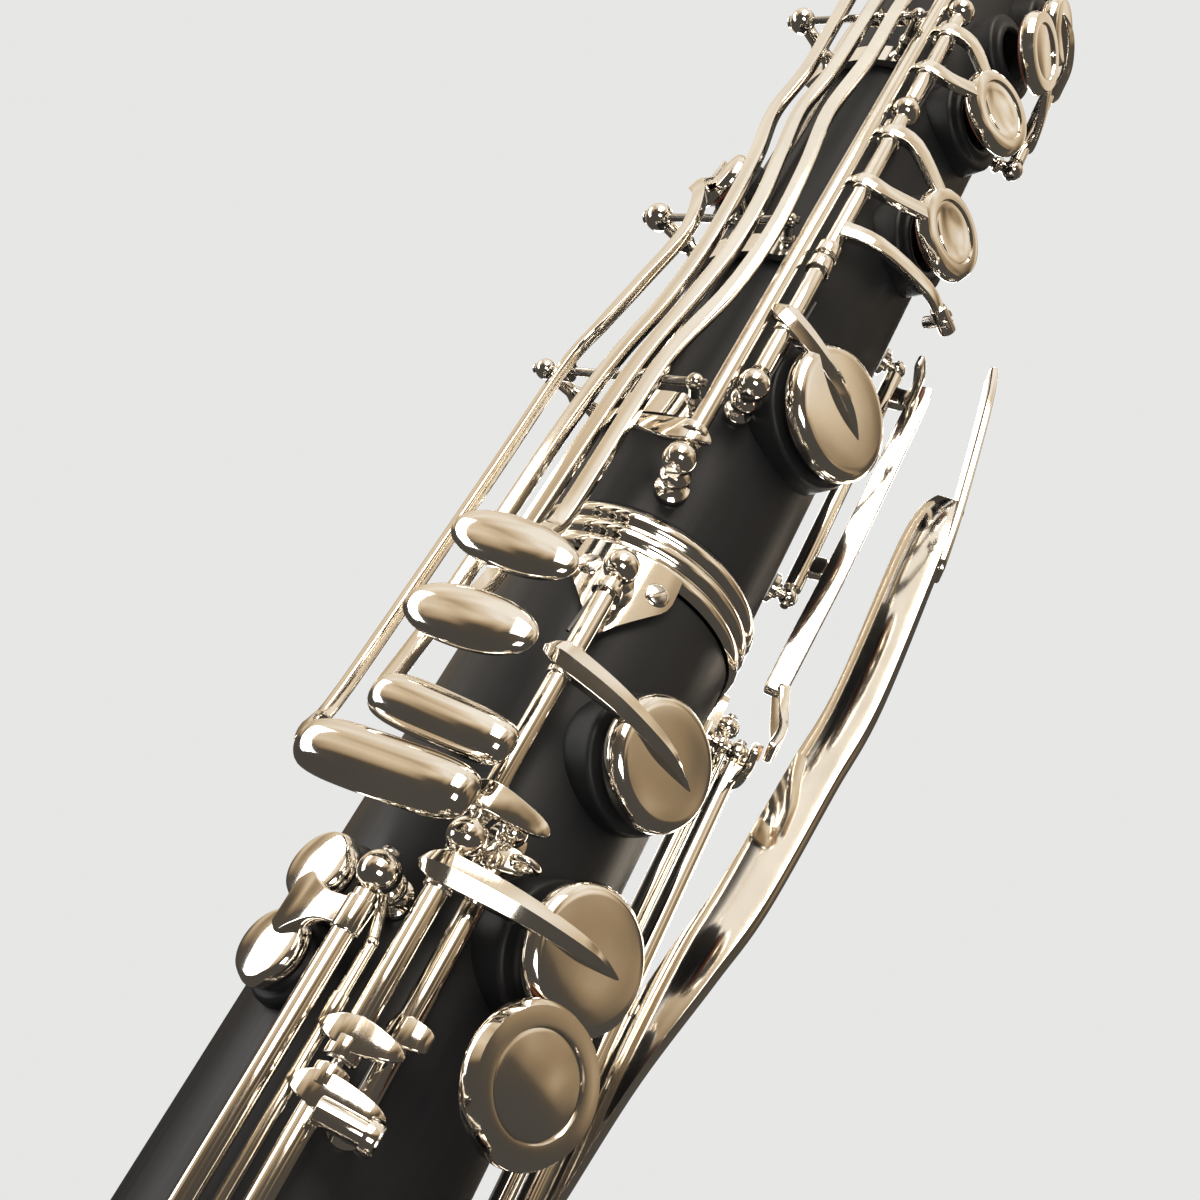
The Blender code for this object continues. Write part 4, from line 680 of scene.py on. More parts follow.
def make_collar():
    """Three round beads, and a flat three-cornered plate below them with two slotted screws."""
    line = [(COLLAR_SEAT_R + GAP, -GAP), (20.3, -GAP)]
    for top in (-0.4, -3.7, -7.0):
        line += bead(top, 20.35, COLLAR_R, 3.1)
    line += [(20.2, -COLLAR_LENGTH), (COLLAR_SEAT_R + GAP, -COLLAR_LENGTH)]
    ring = turned(line, AXIS, UP, 128, "plating")
    rows = [(-8.6, -22, 22)]
    for z, half in ((-11.0, 22.6), (-13.2, 22.8), (-14.6, 22.0), (-15.8, 20.2), (-17.2, 17.0), (-19.6, 11.6), (-22.0, 6.2),
                    (-23.4, 3.8), (-24.2, 2.0), (-24.6, 0.6)):
        rows.append((z, -half, half))
    plate = plate_on_body([(z, -42.5 + a, -42.5 + b) for z, a, b in rows], 20.3, 21.45, across=14)
    screws = []
    for phi in (-57.5, -27.0):
        screws += [turned([(0, 0.25), (1.75, 0.25), (2.0, 0), (0, 0)], at(phi, 21.4, -13.4), outward(phi), 28, "plating")]
        screws += slotted(at(phi, 21.35, -13.4), outward(phi), 1.55, 0.5, 50)
    finish("middle_collar", [ring, plate] + screws, sharp=50)


def make_top_ring():
    top, low = UPPER_TOP + 1.5, UPPER_TOP - TOP_RING_LENGTH
    line = [(NECK_SOCKET_R + 1.6, UPPER_TOP - 1), (NECK_SOCKET_R + 1.6, top - 0.5), (NECK_SOCKET_R + 2.2, top), (20.2, top)]
    line += bead(top - 0.2, 20.6, TOP_RING_R, 3.4) + bead(top - 4.2, 20.6, TOP_RING_R - 0.5, 4.2) + \
        bead(top - 9.0, 20.6, TOP_RING_R, 3.3)
    line += [(20.4, low), (COLLAR_SEAT_R + GAP, low)]
    finish("upper_socket_ring", [turned(line, AXIS, UP, 96, "plating")], sharp=50)


def make_tenon_cork():
    line = [(13.6, -4.3), (15.0, -4.3), (15.1, -5.2), (15.1, -20.8), (15.0, -21.7), (13.6, -21.7)]
    finish("middle_tenon_cork", [turned(line, AXIS, UP, 64, "cork")])


def ring_wire(centre, radius, wire_r, axis, mat="plating", steps=48, sides=16):
    m = facing(axis)
    x, y, z = m.col[0], m.col[1], m.col[2]
    rings = []
    for i in range(steps + 1):
        a = 2 * math.pi * i / steps
        out = x * math.cos(a) + y * math.sin(a)
        rings.append([centre + out * ((radius + wire_r * math.cos(2 * math.pi * k / sides)) * MM)
                      + z * (wire_r * math.sin(2 * math.pi * k / sides) * MM) for k in range(sides)])
    return skin(rings, mat, start=False, end=False)


def make_strap_ring():
    foot = plate_on_body([(RING_Z + h, 180 - p, 180 + p) for h, p in
                          ((-12, 3.5), (-11.4, 7.5), (-9.5, 10.6), (-6, 12.6), (0, 13), (6, 12.6), (9.5, 10.6), (11.4, 7.5), (12, 3.5))],
                         20.3, 22.0, across=12)
    stalk = turned([(0, 2.6), (2.0, 2.6), (2.1, 1.6), (2.6, 0.9), (4.2, 0.2), (4.4, 0), (0, 0)], at(180, 21.6, RING_Z), BACK, 32,
                   "plating", 0.3)
    screws = []
    for h in (-8.6, 8.6):
        screws += slotted(at(180, 21.85, RING_Z + h), BACK, 1.7, 0.55, 30)
    loop = ring_wire(at(180, RING_RHO, RING_Z), 7.0, 1.5, X)
    finish("strap_ring", [loop, stalk, foot] + screws)


def make_thumb_rest():
    plate = plate_on_body([(z, 180 - p, 180 + p) for z, p in ((-145, 9), (-144, 15), (-141, 18.5), (-134, 19), (-122, 19),
                                                              (-115, 18.5), (-112, 15), (-111, 9))], 20.3, 22.2, across=12)
    hook = bar([(180, 21.8, -117.6, 14, 2.6), (180, 25, -117.9, 16, 2.6), (180, 31, -119.2, 17, 2.8), (180, 36, -122, 17, 2.8),
                (180, 39.6, -126.5, 15, 2.2)], UP, corner=1.0, density=6, ends=1.0)
    pad = bar([(180, 24, -119.7, 13, 1.2), (180, 31, -121.1, 14, 1.2), (180, 35.6, -124.0, 14, 1.2)], UP, corner=0.5, mat="cork")
    screws = []
    for z in (-139.5, -132.0):
        screws += slotted(at(180, 22.0, z), BACK, 1.9, 0.6, 70)
    finish("thumb_rest", [plate, hook, pad] + screws)


# ---------------------------------------------------------------- neck, mouthpiece

NECK_R, NECK_RISE, NECK_BEND_R, NECK_BEND, NECK_REACH = 11.0, 58.0, 42.0, 76.0, 26.0
CORK_LENGTH, MOUTHPIECE_LENGTH, REED_LENGTH = 22.0, 92.0, 64.0
NECK_CENTRE = at(0, 0, UPPER_TOP + NECK_RISE) + BACK * (NECK_BEND_R * MM)
BLOW = Vector((0.0, math.sin(math.radians(NECK_BEND)), math.cos(math.radians(NECK_BEND))))
REED_SIDE = Vector((0.0, BLOW.z, -BLOW.y))
BEND_END = NECK_CENTRE + Vector((0, -math.cos(math.radians(NECK_BEND)), math.sin(math.radians(NECK_BEND)))) * (NECK_BEND_R * MM)
NECK_MOUTH = BEND_END + BLOW * (NECK_REACH * MM)
VENT_ANGLE = math.radians(20.0)
NECK_VENT_OUT = Vector((0, -math.cos(VENT_ANGLE), math.sin(VENT_ANGLE)))
NECK_VENT = NECK_CENTRE + NECK_VENT_OUT * ((NECK_BEND_R + NECK_R - 1) * MM)
NECK_HINGE = at(0, NECK_R + 5.6, UPPER_TOP + 40)
NECK_RING_Z = UPPER_TOP + 11.0
MP_START = NECK_MOUTH - BLOW * ((CORK_LENGTH - 2) * MM)
TABLE_DEPTH = 9.5


def make_neck():
    path = [at(0, 0, UPPER_TOP - 23), at(0, 0, UPPER_TOP + 20), at(0, 0, UPPER_TOP + NECK_RISE)]
    for i in range(1, 25):
        a = math.radians(NECK_BEND) * i / 24
        path.append(NECK_CENTRE + Vector((0, -math.cos(a), math.sin(a))) * (NECK_BEND_R * MM))
    path += [NECK_MOUTH - BLOW * 0.003, NECK_MOUTH]
    tube = tube_along(path, NECK_R, 48, density=1, caps=False)
    lining = tube_along(path, NECK_R - 1.0, 48, density=1, caps=False)
    mouth = turned([(NECK_R - 1.0, 0), (NECK_R - 0.5, 0.25), (NECK_R, 0)], NECK_MOUTH, BLOW, 48)
    socket = turned([(11.0, 12.5), (11.7, 11.5), (11.8, 9.0)] + bead(8.0, 12.6, 15.0, 3.4) + [(12.4, 3.9)]
                    + bead(3.8, 12.6, 14.2, 1.6) + [(11.0, 2.2)], at(0, 0, UPPER_TOP), UP, 64)
    tenon = turned([(11.1, 0), (12.9, -0.6), (13.0, -1.4), (13.0, -20), (12.8, -21), (11.1, -21.4)], at(0, 0, UPPER_TOP), UP, 48,
                   "cork")
    stop = turned([(11, 1.8)] + bead(1.5, 11.8, 13.2, 3.0) + [(11, -1.8)], NECK_MOUTH - BLOW * ((CORK_LENGTH + 2.0) * MM), BLOW, 48)
    ferrule = turned([(11, 7)] + bead(6.4, 11.3, 12.2, 1.8) + [(11.2, 3.8)] + bead(3.6, 11.3, 12.2, 1.8) + [(11, 1)],
                     at(0, 0, UPPER_TOP + 26), UP, 48)
    vent = turned([(1.2, 3.2), (2.1, 3.4), (3.0, 2.8), (3.0, 0.8), (4.4, -0.2), (4.4, -1)], NECK_VENT, NECK_VENT_OUT, 32, "plating",
                  0.3)
    shapes = [tube, lining, mouth, socket, stop, ferrule, vent]
    for s in (-1, 1):
        foot = NECK_HINGE + X * (s * 7.2 * MM)
        inward = Vector((-s * 0.32, 0.95, 0.0)).normalized()
        shapes.append(turned([(0, 2.3), (1.6, 1.9), (2.3, 0), (1.7, -1.6), (1.1, -2.2), (1.1, -4.2), (2.6, -7.6), (3.2, -9.5)],
                             foot, -inward, 24))
    shapes.append(rod(NECK_HINGE - X * 0.0086, NECK_HINGE + X * 0.0086, STEEL_R, 12, "screw"))
    shapes += slotted(NECK_HINGE + X * 0.0090, X, 1.2, 0.6)
    finish("neck", shapes + [tenon])


def make_neck_cork():
    line = [(11.3, -CORK_LENGTH), (12.7, -CORK_LENGTH), (12.8, -21.4), (12.8, -1.6), (12.4, -0.6), (11.3, -0.5)]
    finish("neck_cork", [turned(line, NECK_MOUTH, BLOW, 64, "cork")])


def mp_point(along, side, down):
    return MP_START + (BLOW * along + X * side + REED_SIDE * down) * MM


def solid(shape):
    """A shape as a temporary object, for cutting."""
    mesh = bpy.data.meshes.new("stock")
    mesh.from_pydata(shape[0], [], shape[1])
    bm = bmesh.new()
    bm.from_mesh(mesh)
    bmesh.ops.recalc_face_normals(bm, faces=bm.faces)
    bm.to_mesh(mesh)
    bm.free()
    obj = bpy.data.objects.new("stock", mesh)
    bpy.context.scene.collection.objects.link(obj)
    return obj


def cut(shape, cutters):
    """A shape less some others, with the cut edges kept crisp."""
    body = solid(shape)
    tools = [solid(c) for c in cutters]
    for tool in tools:
        step = body.modifiers.new("cut", "BOOLEAN")
        step.operation, step.solver, step.object = "DIFFERENCE", "EXACT", tool
    bpy.context.view_layer.update()
    mesh = bpy.data.meshes.new_from_object(body.evaluated_get(bpy.context.evaluated_depsgraph_get()))
    result = [v.co.copy() for v in mesh.vertices], [tuple(p.vertices) for p in mesh.polygons], shape[2]
    for obj in [body] + tools:
        bpy.data.objects.remove(obj, do_unlink=True)
    return result


def box(centre, size, turn=None):
    m = turn or Matrix.Identity(3)
    half = [s * MM / 2 for s in size]
    rings = [[centre + m @ Vector((sx * half[0], sy * half[1], sz * half[2])) for sx, sy in ((1, 1), (-1, 1), (-1, -1), (1, -1))]
             for sz in (-1, 1)]
    return skin(rings, "plating")


def make_mouthpiece():
    profile = [(0, MOUTHPIECE_LENGTH), (8.3, MOUTHPIECE_LENGTH), (10.0, 85), (11.6, 76), (12.9, 66.0), (13.8, 50), (14.2, 34.0),
               (14.2, 25.6)] + bead(25.0, 14.5, 17.0, 3.4) + [(16.4, 21.0), (16.6, 14.0), (16.9, 6.0)] + \
        bead(4.6, 16.6, 17.1, 3.6) + [(16.0, 0.0), (0, 0)]
    body = turned(profile, MP_START, BLOW, 96, "ebonite")
    turn = facing(BLOW, REED_SIDE)
    table = box(mp_point(60, 0, TABLE_DEPTH + 12), (60.0, 24.0, 70.0), turn)
    a = math.radians(22)
    normal = (-REED_SIDE * math.cos(a) + BLOW * math.sin(a)).normalized()
    beak = box(mp_point(MOUTHPIECE_LENGTH, 0, TABLE_DEPTH - 1.6) + normal * (20 * MM), (60.0, 130.0, 40.0), facing(normal, BLOW))
    socket = rod(mp_point(-3, 0, 0), mp_point(CORK_LENGTH - 1.0, 0, 0), 13.1, 48, bevel=0)
    bore = rod(mp_point(CORK_LENGTH - 4, 0, 0), mp_point(58, 0, 0), 8.0, 32, bevel=0)
    window = box(mp_point(62, 0, TABLE_DEPTH - 3), (11.5, 14.0, 36.0), turn)
    finish("mouthpiece", [cut(body, [table, beak, socket, bore, window])], sharp=28)
    low = TABLE_DEPTH + 0.1
    butt = MOUTHPIECE_LENGTH - REED_LENGTH
    rings = []
    for i in range(41):
        t = i / 40
        along = butt + (REED_LENGTH - 0.4) * t
        wide = (12.6 + 3.4 * t) * (1.0 if t < 0.97 else 1.0 - ((t - 0.97) / 0.03) ** 2 * 0.12)
        thick = 3.1 if t < 0.42 else 3.1 - 2.85 * ((t - 0.42) / 0.58) ** 0.85
        ring = [mp_point(along, wide / 2 - wide * k / 12, low + max(0.12, thick * (1 - (abs(k - 6) / 6.0) ** 2.6 * (0.62 if t < 0.42 else 0.5))))
                for k in range(13)]
        ring += [mp_point(along, -wide / 2, low), mp_point(along, wide / 2, low)]
        rings.append(ring)
    finish("reed", [skin(rings, "cane")])


def make_ligature():
    """A strip round the mouthpiece and reed, with two ears that the screws draw together."""
    def ring(z, r):
        points = []
        for i in range(65):
            a = math.radians(7.5 + 345 * i / 64)
            points.append((z, r, a))
        return points
    inner, outer = [], []
    for z in (26.5, 26.9, 31.0, 31.4, 36.0, 40.0, 44.0, 49.1, 49.5, 53.6, 54.0):
        r = 17.9 - (z - 26.5) * 0.058
        lift = 0.35 if z in (26.5, 26.9, 53.6, 54.0) else 0.0
        outer.append([mp_point(z, r0 * math.sin(a), r0 * math.cos(a)) for _, r0, a in ring(z, r + lift)])
        inner.append([mp_point(z, r0 * math.sin(a), r0 * math.cos(a)) for _, r0, a in ring(z, r - 1.0)])
    band = skin([o + list(reversed(i)) for o, i in zip(outer, inner)], "plating")
    ears = [bar_through([mp_point(29.5, s * 2.7, 19.8), mp_point(40, s * 2.7, 20.2), mp_point(50.5, s * 2.7, 19.6)],
                        [(6.4, 1.3), (7.2, 1.3), (6.4, 1.3)], X, corner=0.5, ends=0.6) for s in (-1, 1)]
    barrels = [rod(mp_point(z, s * 2.0, 21.4), mp_point(z, s * 4.6, 21.4), 2.6, 24) for z in (33, 47) for s in (-1, 1)]
    finish("ligature", [band] + ears + barrels)
    for name, z in (("ligature_screw_rear", 33.0), ("ligature_screw_front", 47.0)):
        shaft = rod(mp_point(z, -5.5, 21.4), mp_point(z, 10, 21.4), 1.15, 16, "screw")
        head = knurled(mp_point(z, 6.0, 21.4), X, 3.2, 6.0)
        finish(name, [shaft, head])


def make_neck_vent_key():
    tube = rod(NECK_HINGE - X * 0.0052, NECK_HINGE + X * 0.0052, TUBE_R, 24)
    base = NECK_VENT + NECK_VENT_OUT * ((3.4 + GAP) * MM)
    pad = turned([(0, 0), (3.4, 0), (3.6, 0.8), (0, 0.8)], base, NECK_VENT_OUT, 32, "pad", 0.2)
    cap = turned([(0, 2.7), (2.4, 2.6), (3.6, 2.2), (4.2, 1.5), (4.2, 0.6), (3.5, 0.6)], base, NECK_VENT_OUT, 40)
    upper = bar_through([NECK_HINGE - BACK * 0.0006, at(0, NECK_R + 8.2, UPPER_TOP + 50), base + NECK_VENT_OUT * 0.0028,
                         base + NECK_VENT_OUT * 0.0028 + Vector((0, 0.002, 0.004))],
                        [(3.4, 1.8), (3.6, 1.6), (2.6, 1.3), (0.6, 0.8)], -BACK, ends=0.4)
    tail = bar_through([NECK_HINGE - BACK * 0.0006, at(0, 21.5, UPPER_TOP + 26), at(0, 27, NECK_RING_Z)],
                       [(3.4, 1.8), (4.0, 1.6), (4.6, 1.5)], -BACK)
    loop = ring_wire(at(0, 0, NECK_RING_Z), 27.0, 1.2, UP, steps=72)
    finish("neck_vent_key", [loop, tube, pad, cap, upper, tail], pivot=NECK_HINGE)


# ---------------------------------------------------------------- bell and floor peg

PEG_RHO, PEG_R, PEG_TOP, PEG_BOTTOM = 31.0, 4.0, -432.0, -640.0
HOLDER_TOP, HOLDER_BOTTOM, HOLDER_R, PEG_SCREW_Z = -424.0, -500.0, 7.5, -490.0
BELL_BOW_R, BELL_TUBE_R, BELL_RIM_R = 47.0, 15.5, 49.0
BELL_EDGE = 0.995         # where the rolled rim's middle lies, as a share of the bell's length


def bell_section(t):
    start_z, drop, bow, flare_length = LOWER_END + 10, 34.0, math.radians(158), 62.0
    s = t * (drop + BELL_BOW_R * bow + flare_length)
    if s <= drop:
        y, z, a = 0.0, start_z - s, 0.0
    else:
        a = min(bow, (s - drop) / BELL_BOW_R)
        rest = max(0.0, s - drop - BELL_BOW_R * bow)
        y = -BELL_BOW_R * (1 - math.cos(a)) - math.sin(a) * rest
        z = start_z - drop - BELL_BOW_R * math.sin(a) - math.cos(a) * rest
    flare = max(0.0, (t - 0.35) / 0.65)
    radius = BELL_TUBE_R + 6.0 * flare + (BELL_RIM_R - BELL_TUBE_R - 6.0) * flare ** 4.5
    return AXIS + Vector((0, y, z)) * MM, Vector((0, -math.sin(a), -math.cos(a))), radius


def bell_surface(inset, rings=72, sides=72, until=1.0):
    out = []
    for i in range(rings + 1):
        centre, direction, radius = bell_section(until * i / rings)
        normal = Vector((0, direction.z, -direction.y))
        out.append([centre + (X * math.cos(2 * math.pi * k / sides) + normal * math.sin(2 * math.pi * k / sides))
                    * ((radius - inset) * MM) for k in range(sides)])
    return out


def make_bell():
    outer, inner = bell_surface(0.35, until=BELL_EDGE), bell_surface(1.25, until=BELL_EDGE)
    shell = skin(outer + list(reversed(inner)), "plating", start=False, end=False)
    centre, direction, _ = bell_section(BELL_EDGE)
    rim = ring_wire(centre, BELL_RIM_R - 1.15, 1.1, direction, steps=96)
    garland_c, garland_d, garland_r = bell_section(0.90)
    garland = turned([(garland_r - 1.0, 1.2)] + bead(1.0, garland_r - 0.5, garland_r + 0.55, 2.0) + [(garland_r - 1.0, -1.2)],
                     garland_c, -garland_d, 96)
    line = [(14.9, -403), (19.6, -403)] + bead(-402.2, 19.8, 20.5, 3.0) + [(19.7, -406)] + bead(-413, 19.7, 20.3, 3.0) + \
        [(19.6, -417.5)] + bead(-424.6, 19.2, 20.5, 4.2) + [(17.4, -429.0), (15.4, -429.4)]
    line[0] = (15.0, -401.6)
    line[1] = (19.8, -401.6)
    ferrule = turned(line, AXIS, UP, 96, "plating")
    holder_line = [(PEG_R + GAP, HOLDER_TOP), (6.6, HOLDER_TOP)] + bead(HOLDER_TOP - 0.3, 6.6, HOLDER_R, 3.0) + [(6.5, -428)] + \
        [(6.5, -481.5)] + bead(-482, 6.6, HOLDER_R, 3.0) + [(6.7, -486), (6.7, -495)] + bead(-496, 6.6, HOLDER_R, 3.6) + \
        [(6.2, HOLDER_BOTTOM), (PEG_R + GAP, HOLDER_BOTTOM)]
    holder = turned(holder_line, at(180, PEG_RHO, 0), UP, 48, "plating")
    webs = [bar([(180, 14.8, -434.2, 8.5, 4.6), (180, 19.0, -434.2, 7.0, 3.6), (180, 25.6, -434.2, 9.5, 4.4)], UP, corner=1.2,
                ends=0, density=6),
            bar([(180, 10.0, -462.6, 9.0, 4.6), (180, 17.0, -462.6, 7.0, 3.6), (180, 25.6, -462.6, 9.5, 4.4)], UP, corner=1.2,
                ends=0, density=6)]
    boss = turned([(2.4, 4.3), (3.9, 4.3), (4.2, 3.4), (4.2, 0), (2.4, 0)], at(180, PEG_RHO + 5.4, PEG_SCREW_Z), BACK, 32, "plating",
                  0.3)
    guard = [at(0, 16.4, -425.5), at(0, 27, -429), at(0, 47, -432)]
    finish("bell", [shell, rim, garland, ferrule, holder, boss] + webs, sharp=50)


def make_peg():
    shaft = rod(at(180, PEG_RHO, PEG_BOTTOM + 14), at(180, PEG_RHO, PEG_TOP), PEG_R - 0.1, 32, "screw", bevel=0.6)
    grooves = [turned([(3.7, 0.3), (3.95, 0.3), (3.95, -0.3), (3.7, -0.3)], at(180, PEG_RHO, z), UP, 32, "screw", 0.1)
               for z in (-614.0, -611.0)]
    finish("floor_peg", [shaft] + grooves)
    ridges = [(0, 20), (5.2, 20), (6.1, 19.2)]
    for i in range(5):
        ridges += [(6.2 + 0.16 * i, 18.0 - 2.8 * i), (6.5 + 0.16 * i, 17.0 - 2.8 * i), (6.1 + 0.16 * i, 16.0 - 2.8 * i)]
    ridges += [(7.2, 3.2), (7.0, 1.2), (6.4, 0), (0, 0)]
    finish("peg_tip", [turned(ridges, at(180, PEG_RHO, PEG_BOTTOM), UP, 48, "rubber")])
    shaft = rod(at(180, PEG_RHO + 4.4, PEG_SCREW_Z), at(180, PEG_RHO + 14, PEG_SCREW_Z), 2.2, 24, "screw")
    collar = turned([(0, 3.0), (2.6, 3.0), (3.1, 2.2), (3.1, 0.6), (2.6, 0), (0, 0)], at(180, PEG_RHO + 10.8, PEG_SCREW_Z), BACK, 24)
    wings = [oval(at(180, PEG_RHO + 16.5, PEG_SCREW_Z) + X * (s * 0.0012), at(180, PEG_RHO + 19.4, PEG_SCREW_Z) + X * (s * 0.0079), 7.6,
                  3.0, UP, 2.6, flat=1.0) for s in (-1, 1)]
    hub = ball(at(180, PEG_RHO + 15.6, PEG_SCREW_Z), 2.9)
    finish("peg_screw", [shaft, collar, hub] + wings)


# ---------------------------------------------------------------- keys of the lower joint

FRONT_LINE, PLATE_LINE, LEFT_LINE, LOW_LINE = (-42.5, 28.0), (-32.0, 25.0), (-58.0, 28.0), (-72.0, 27.0)
RIGHT_LINE, RIGHT_LOW_LINE, LEVER_LINE = (57.0, 27.0), (64.0, 24.4), (74.0, 30.5)
FRONT_POSTS = (-16.3, -63.1, -137.0, -200.0, -232.0)
SMALL_BALL = 2.0
FINGER_PLATE = (0.6, -85.5, 9.9, 27.4)


def between(high, low, ball_r=BALL_R):
    return (low + ball_r + GAP, high - ball_r - GAP)


def touch(phi, rho, z, length, width, thick=2.0):
    return oval(at(phi, rho, z - length / 2), at(phi, rho, z + length / 2), width, thick * 1.3, outward(phi), 2.8, flat=0.8)


def spring(line, z, z_end, side=1):
    """A blued needle spring, from its post along the hinge tube to a hook on the key."""
    phi, rho = line
    return [tube_along([at(phi + side * 3.6, rho - 1.6, z), at(phi + side * 4.4, rho - 1.9, (z + z_end) / 2),
                        at(phi + side * 5.0, rho - 1.2, z_end)], 0.3, 8, "dark"),
            rod(at(phi + side * 3.0, rho - 0.6, z_end), at(phi + side * 6.2, rho - 1.4, z_end), 0.6, 12)]


def make_lower_posts():
    posts_and_rod("front_posts", [(*FRONT_LINE, FRONT_POSTS)], LOWER_R + 1.2, extra=[
        s for a, b in ((-19.4, -29.0), (-134.0, -126.0), (-196.8, -190.0)) for s in spring(FRONT_LINE, a, b, -1)[:1]])
    posts_and_rod("plate_posts", [(*PLATE_LINE, (-58.5, -98.5))], LOWER_R, SMALL_BALL)
    top, foot = at(-51, 26.4, -80), at(-51, 26.4, -147)
    guard = [rod(top, foot, 0.9), ball(top, 1.0), ball(foot, 1.0), rod(at(-58, 24.4, -72), top, 0.9),
             rod(at(-58, 24.4, -150), foot, 0.9), rod(at(-51, 26.4, -87), at(-51, 26.4, -91), 1.25)]
    posts_and_rod("left_posts", [(*LEFT_LINE, (-72.0, -150.0))], LOWER_R, 2.9, extra=guard)
    posts_and_rod("low_posts", [(*LOW_LINE, (-212.0, -290.0, -345.0))], LOWER_R)
    base = plate_on_body([(-9.9, 56, 64), (-10.6, 53, 67), (-12.5, 51.5, 69), (-18.5, 51.5, 69), (-20.6, 53, 67), (-21.2, 56, 64)],
                         20.4, 21.9)
    posts_and_rod("right_posts", [(*RIGHT_LINE, (-18.2, -304.0)), (*RIGHT_LOW_LINE, (-13.2, -390.0))], LOWER_R + 0.5, SMALL_BALL,
                  POST_FOOT_R, [base])
    posts_and_rod("lever_posts", [(*LEVER_LINE, (-68.5, -102.5))], LOWER_R, 2.2)


def ear_plate(line, z, reach_phi, reach_rho, width=3.0, thick=1.2, back=6.0):
    """A flat pointed lug clasping a hinge tube and running out to one side."""
    phi, rho = line
    sign = 1 if reach_phi > phi else -1
    return bar([(phi - sign * back, rho + 0.2, z, 0.8, 0.9), (phi - sign * 3.0, rho + 1.0, z, width, thick + 0.5),
                (phi + sign * 2.5, rho + 1.2, z, width + 0.8, thick + 0.4), (reach_phi - sign * 4, reach_rho, z, width * 0.8, thick),
                (reach_phi, reach_rho - 0.2, z, 0.8, thick * 0.6)], corner=0.2, ends=0.25)


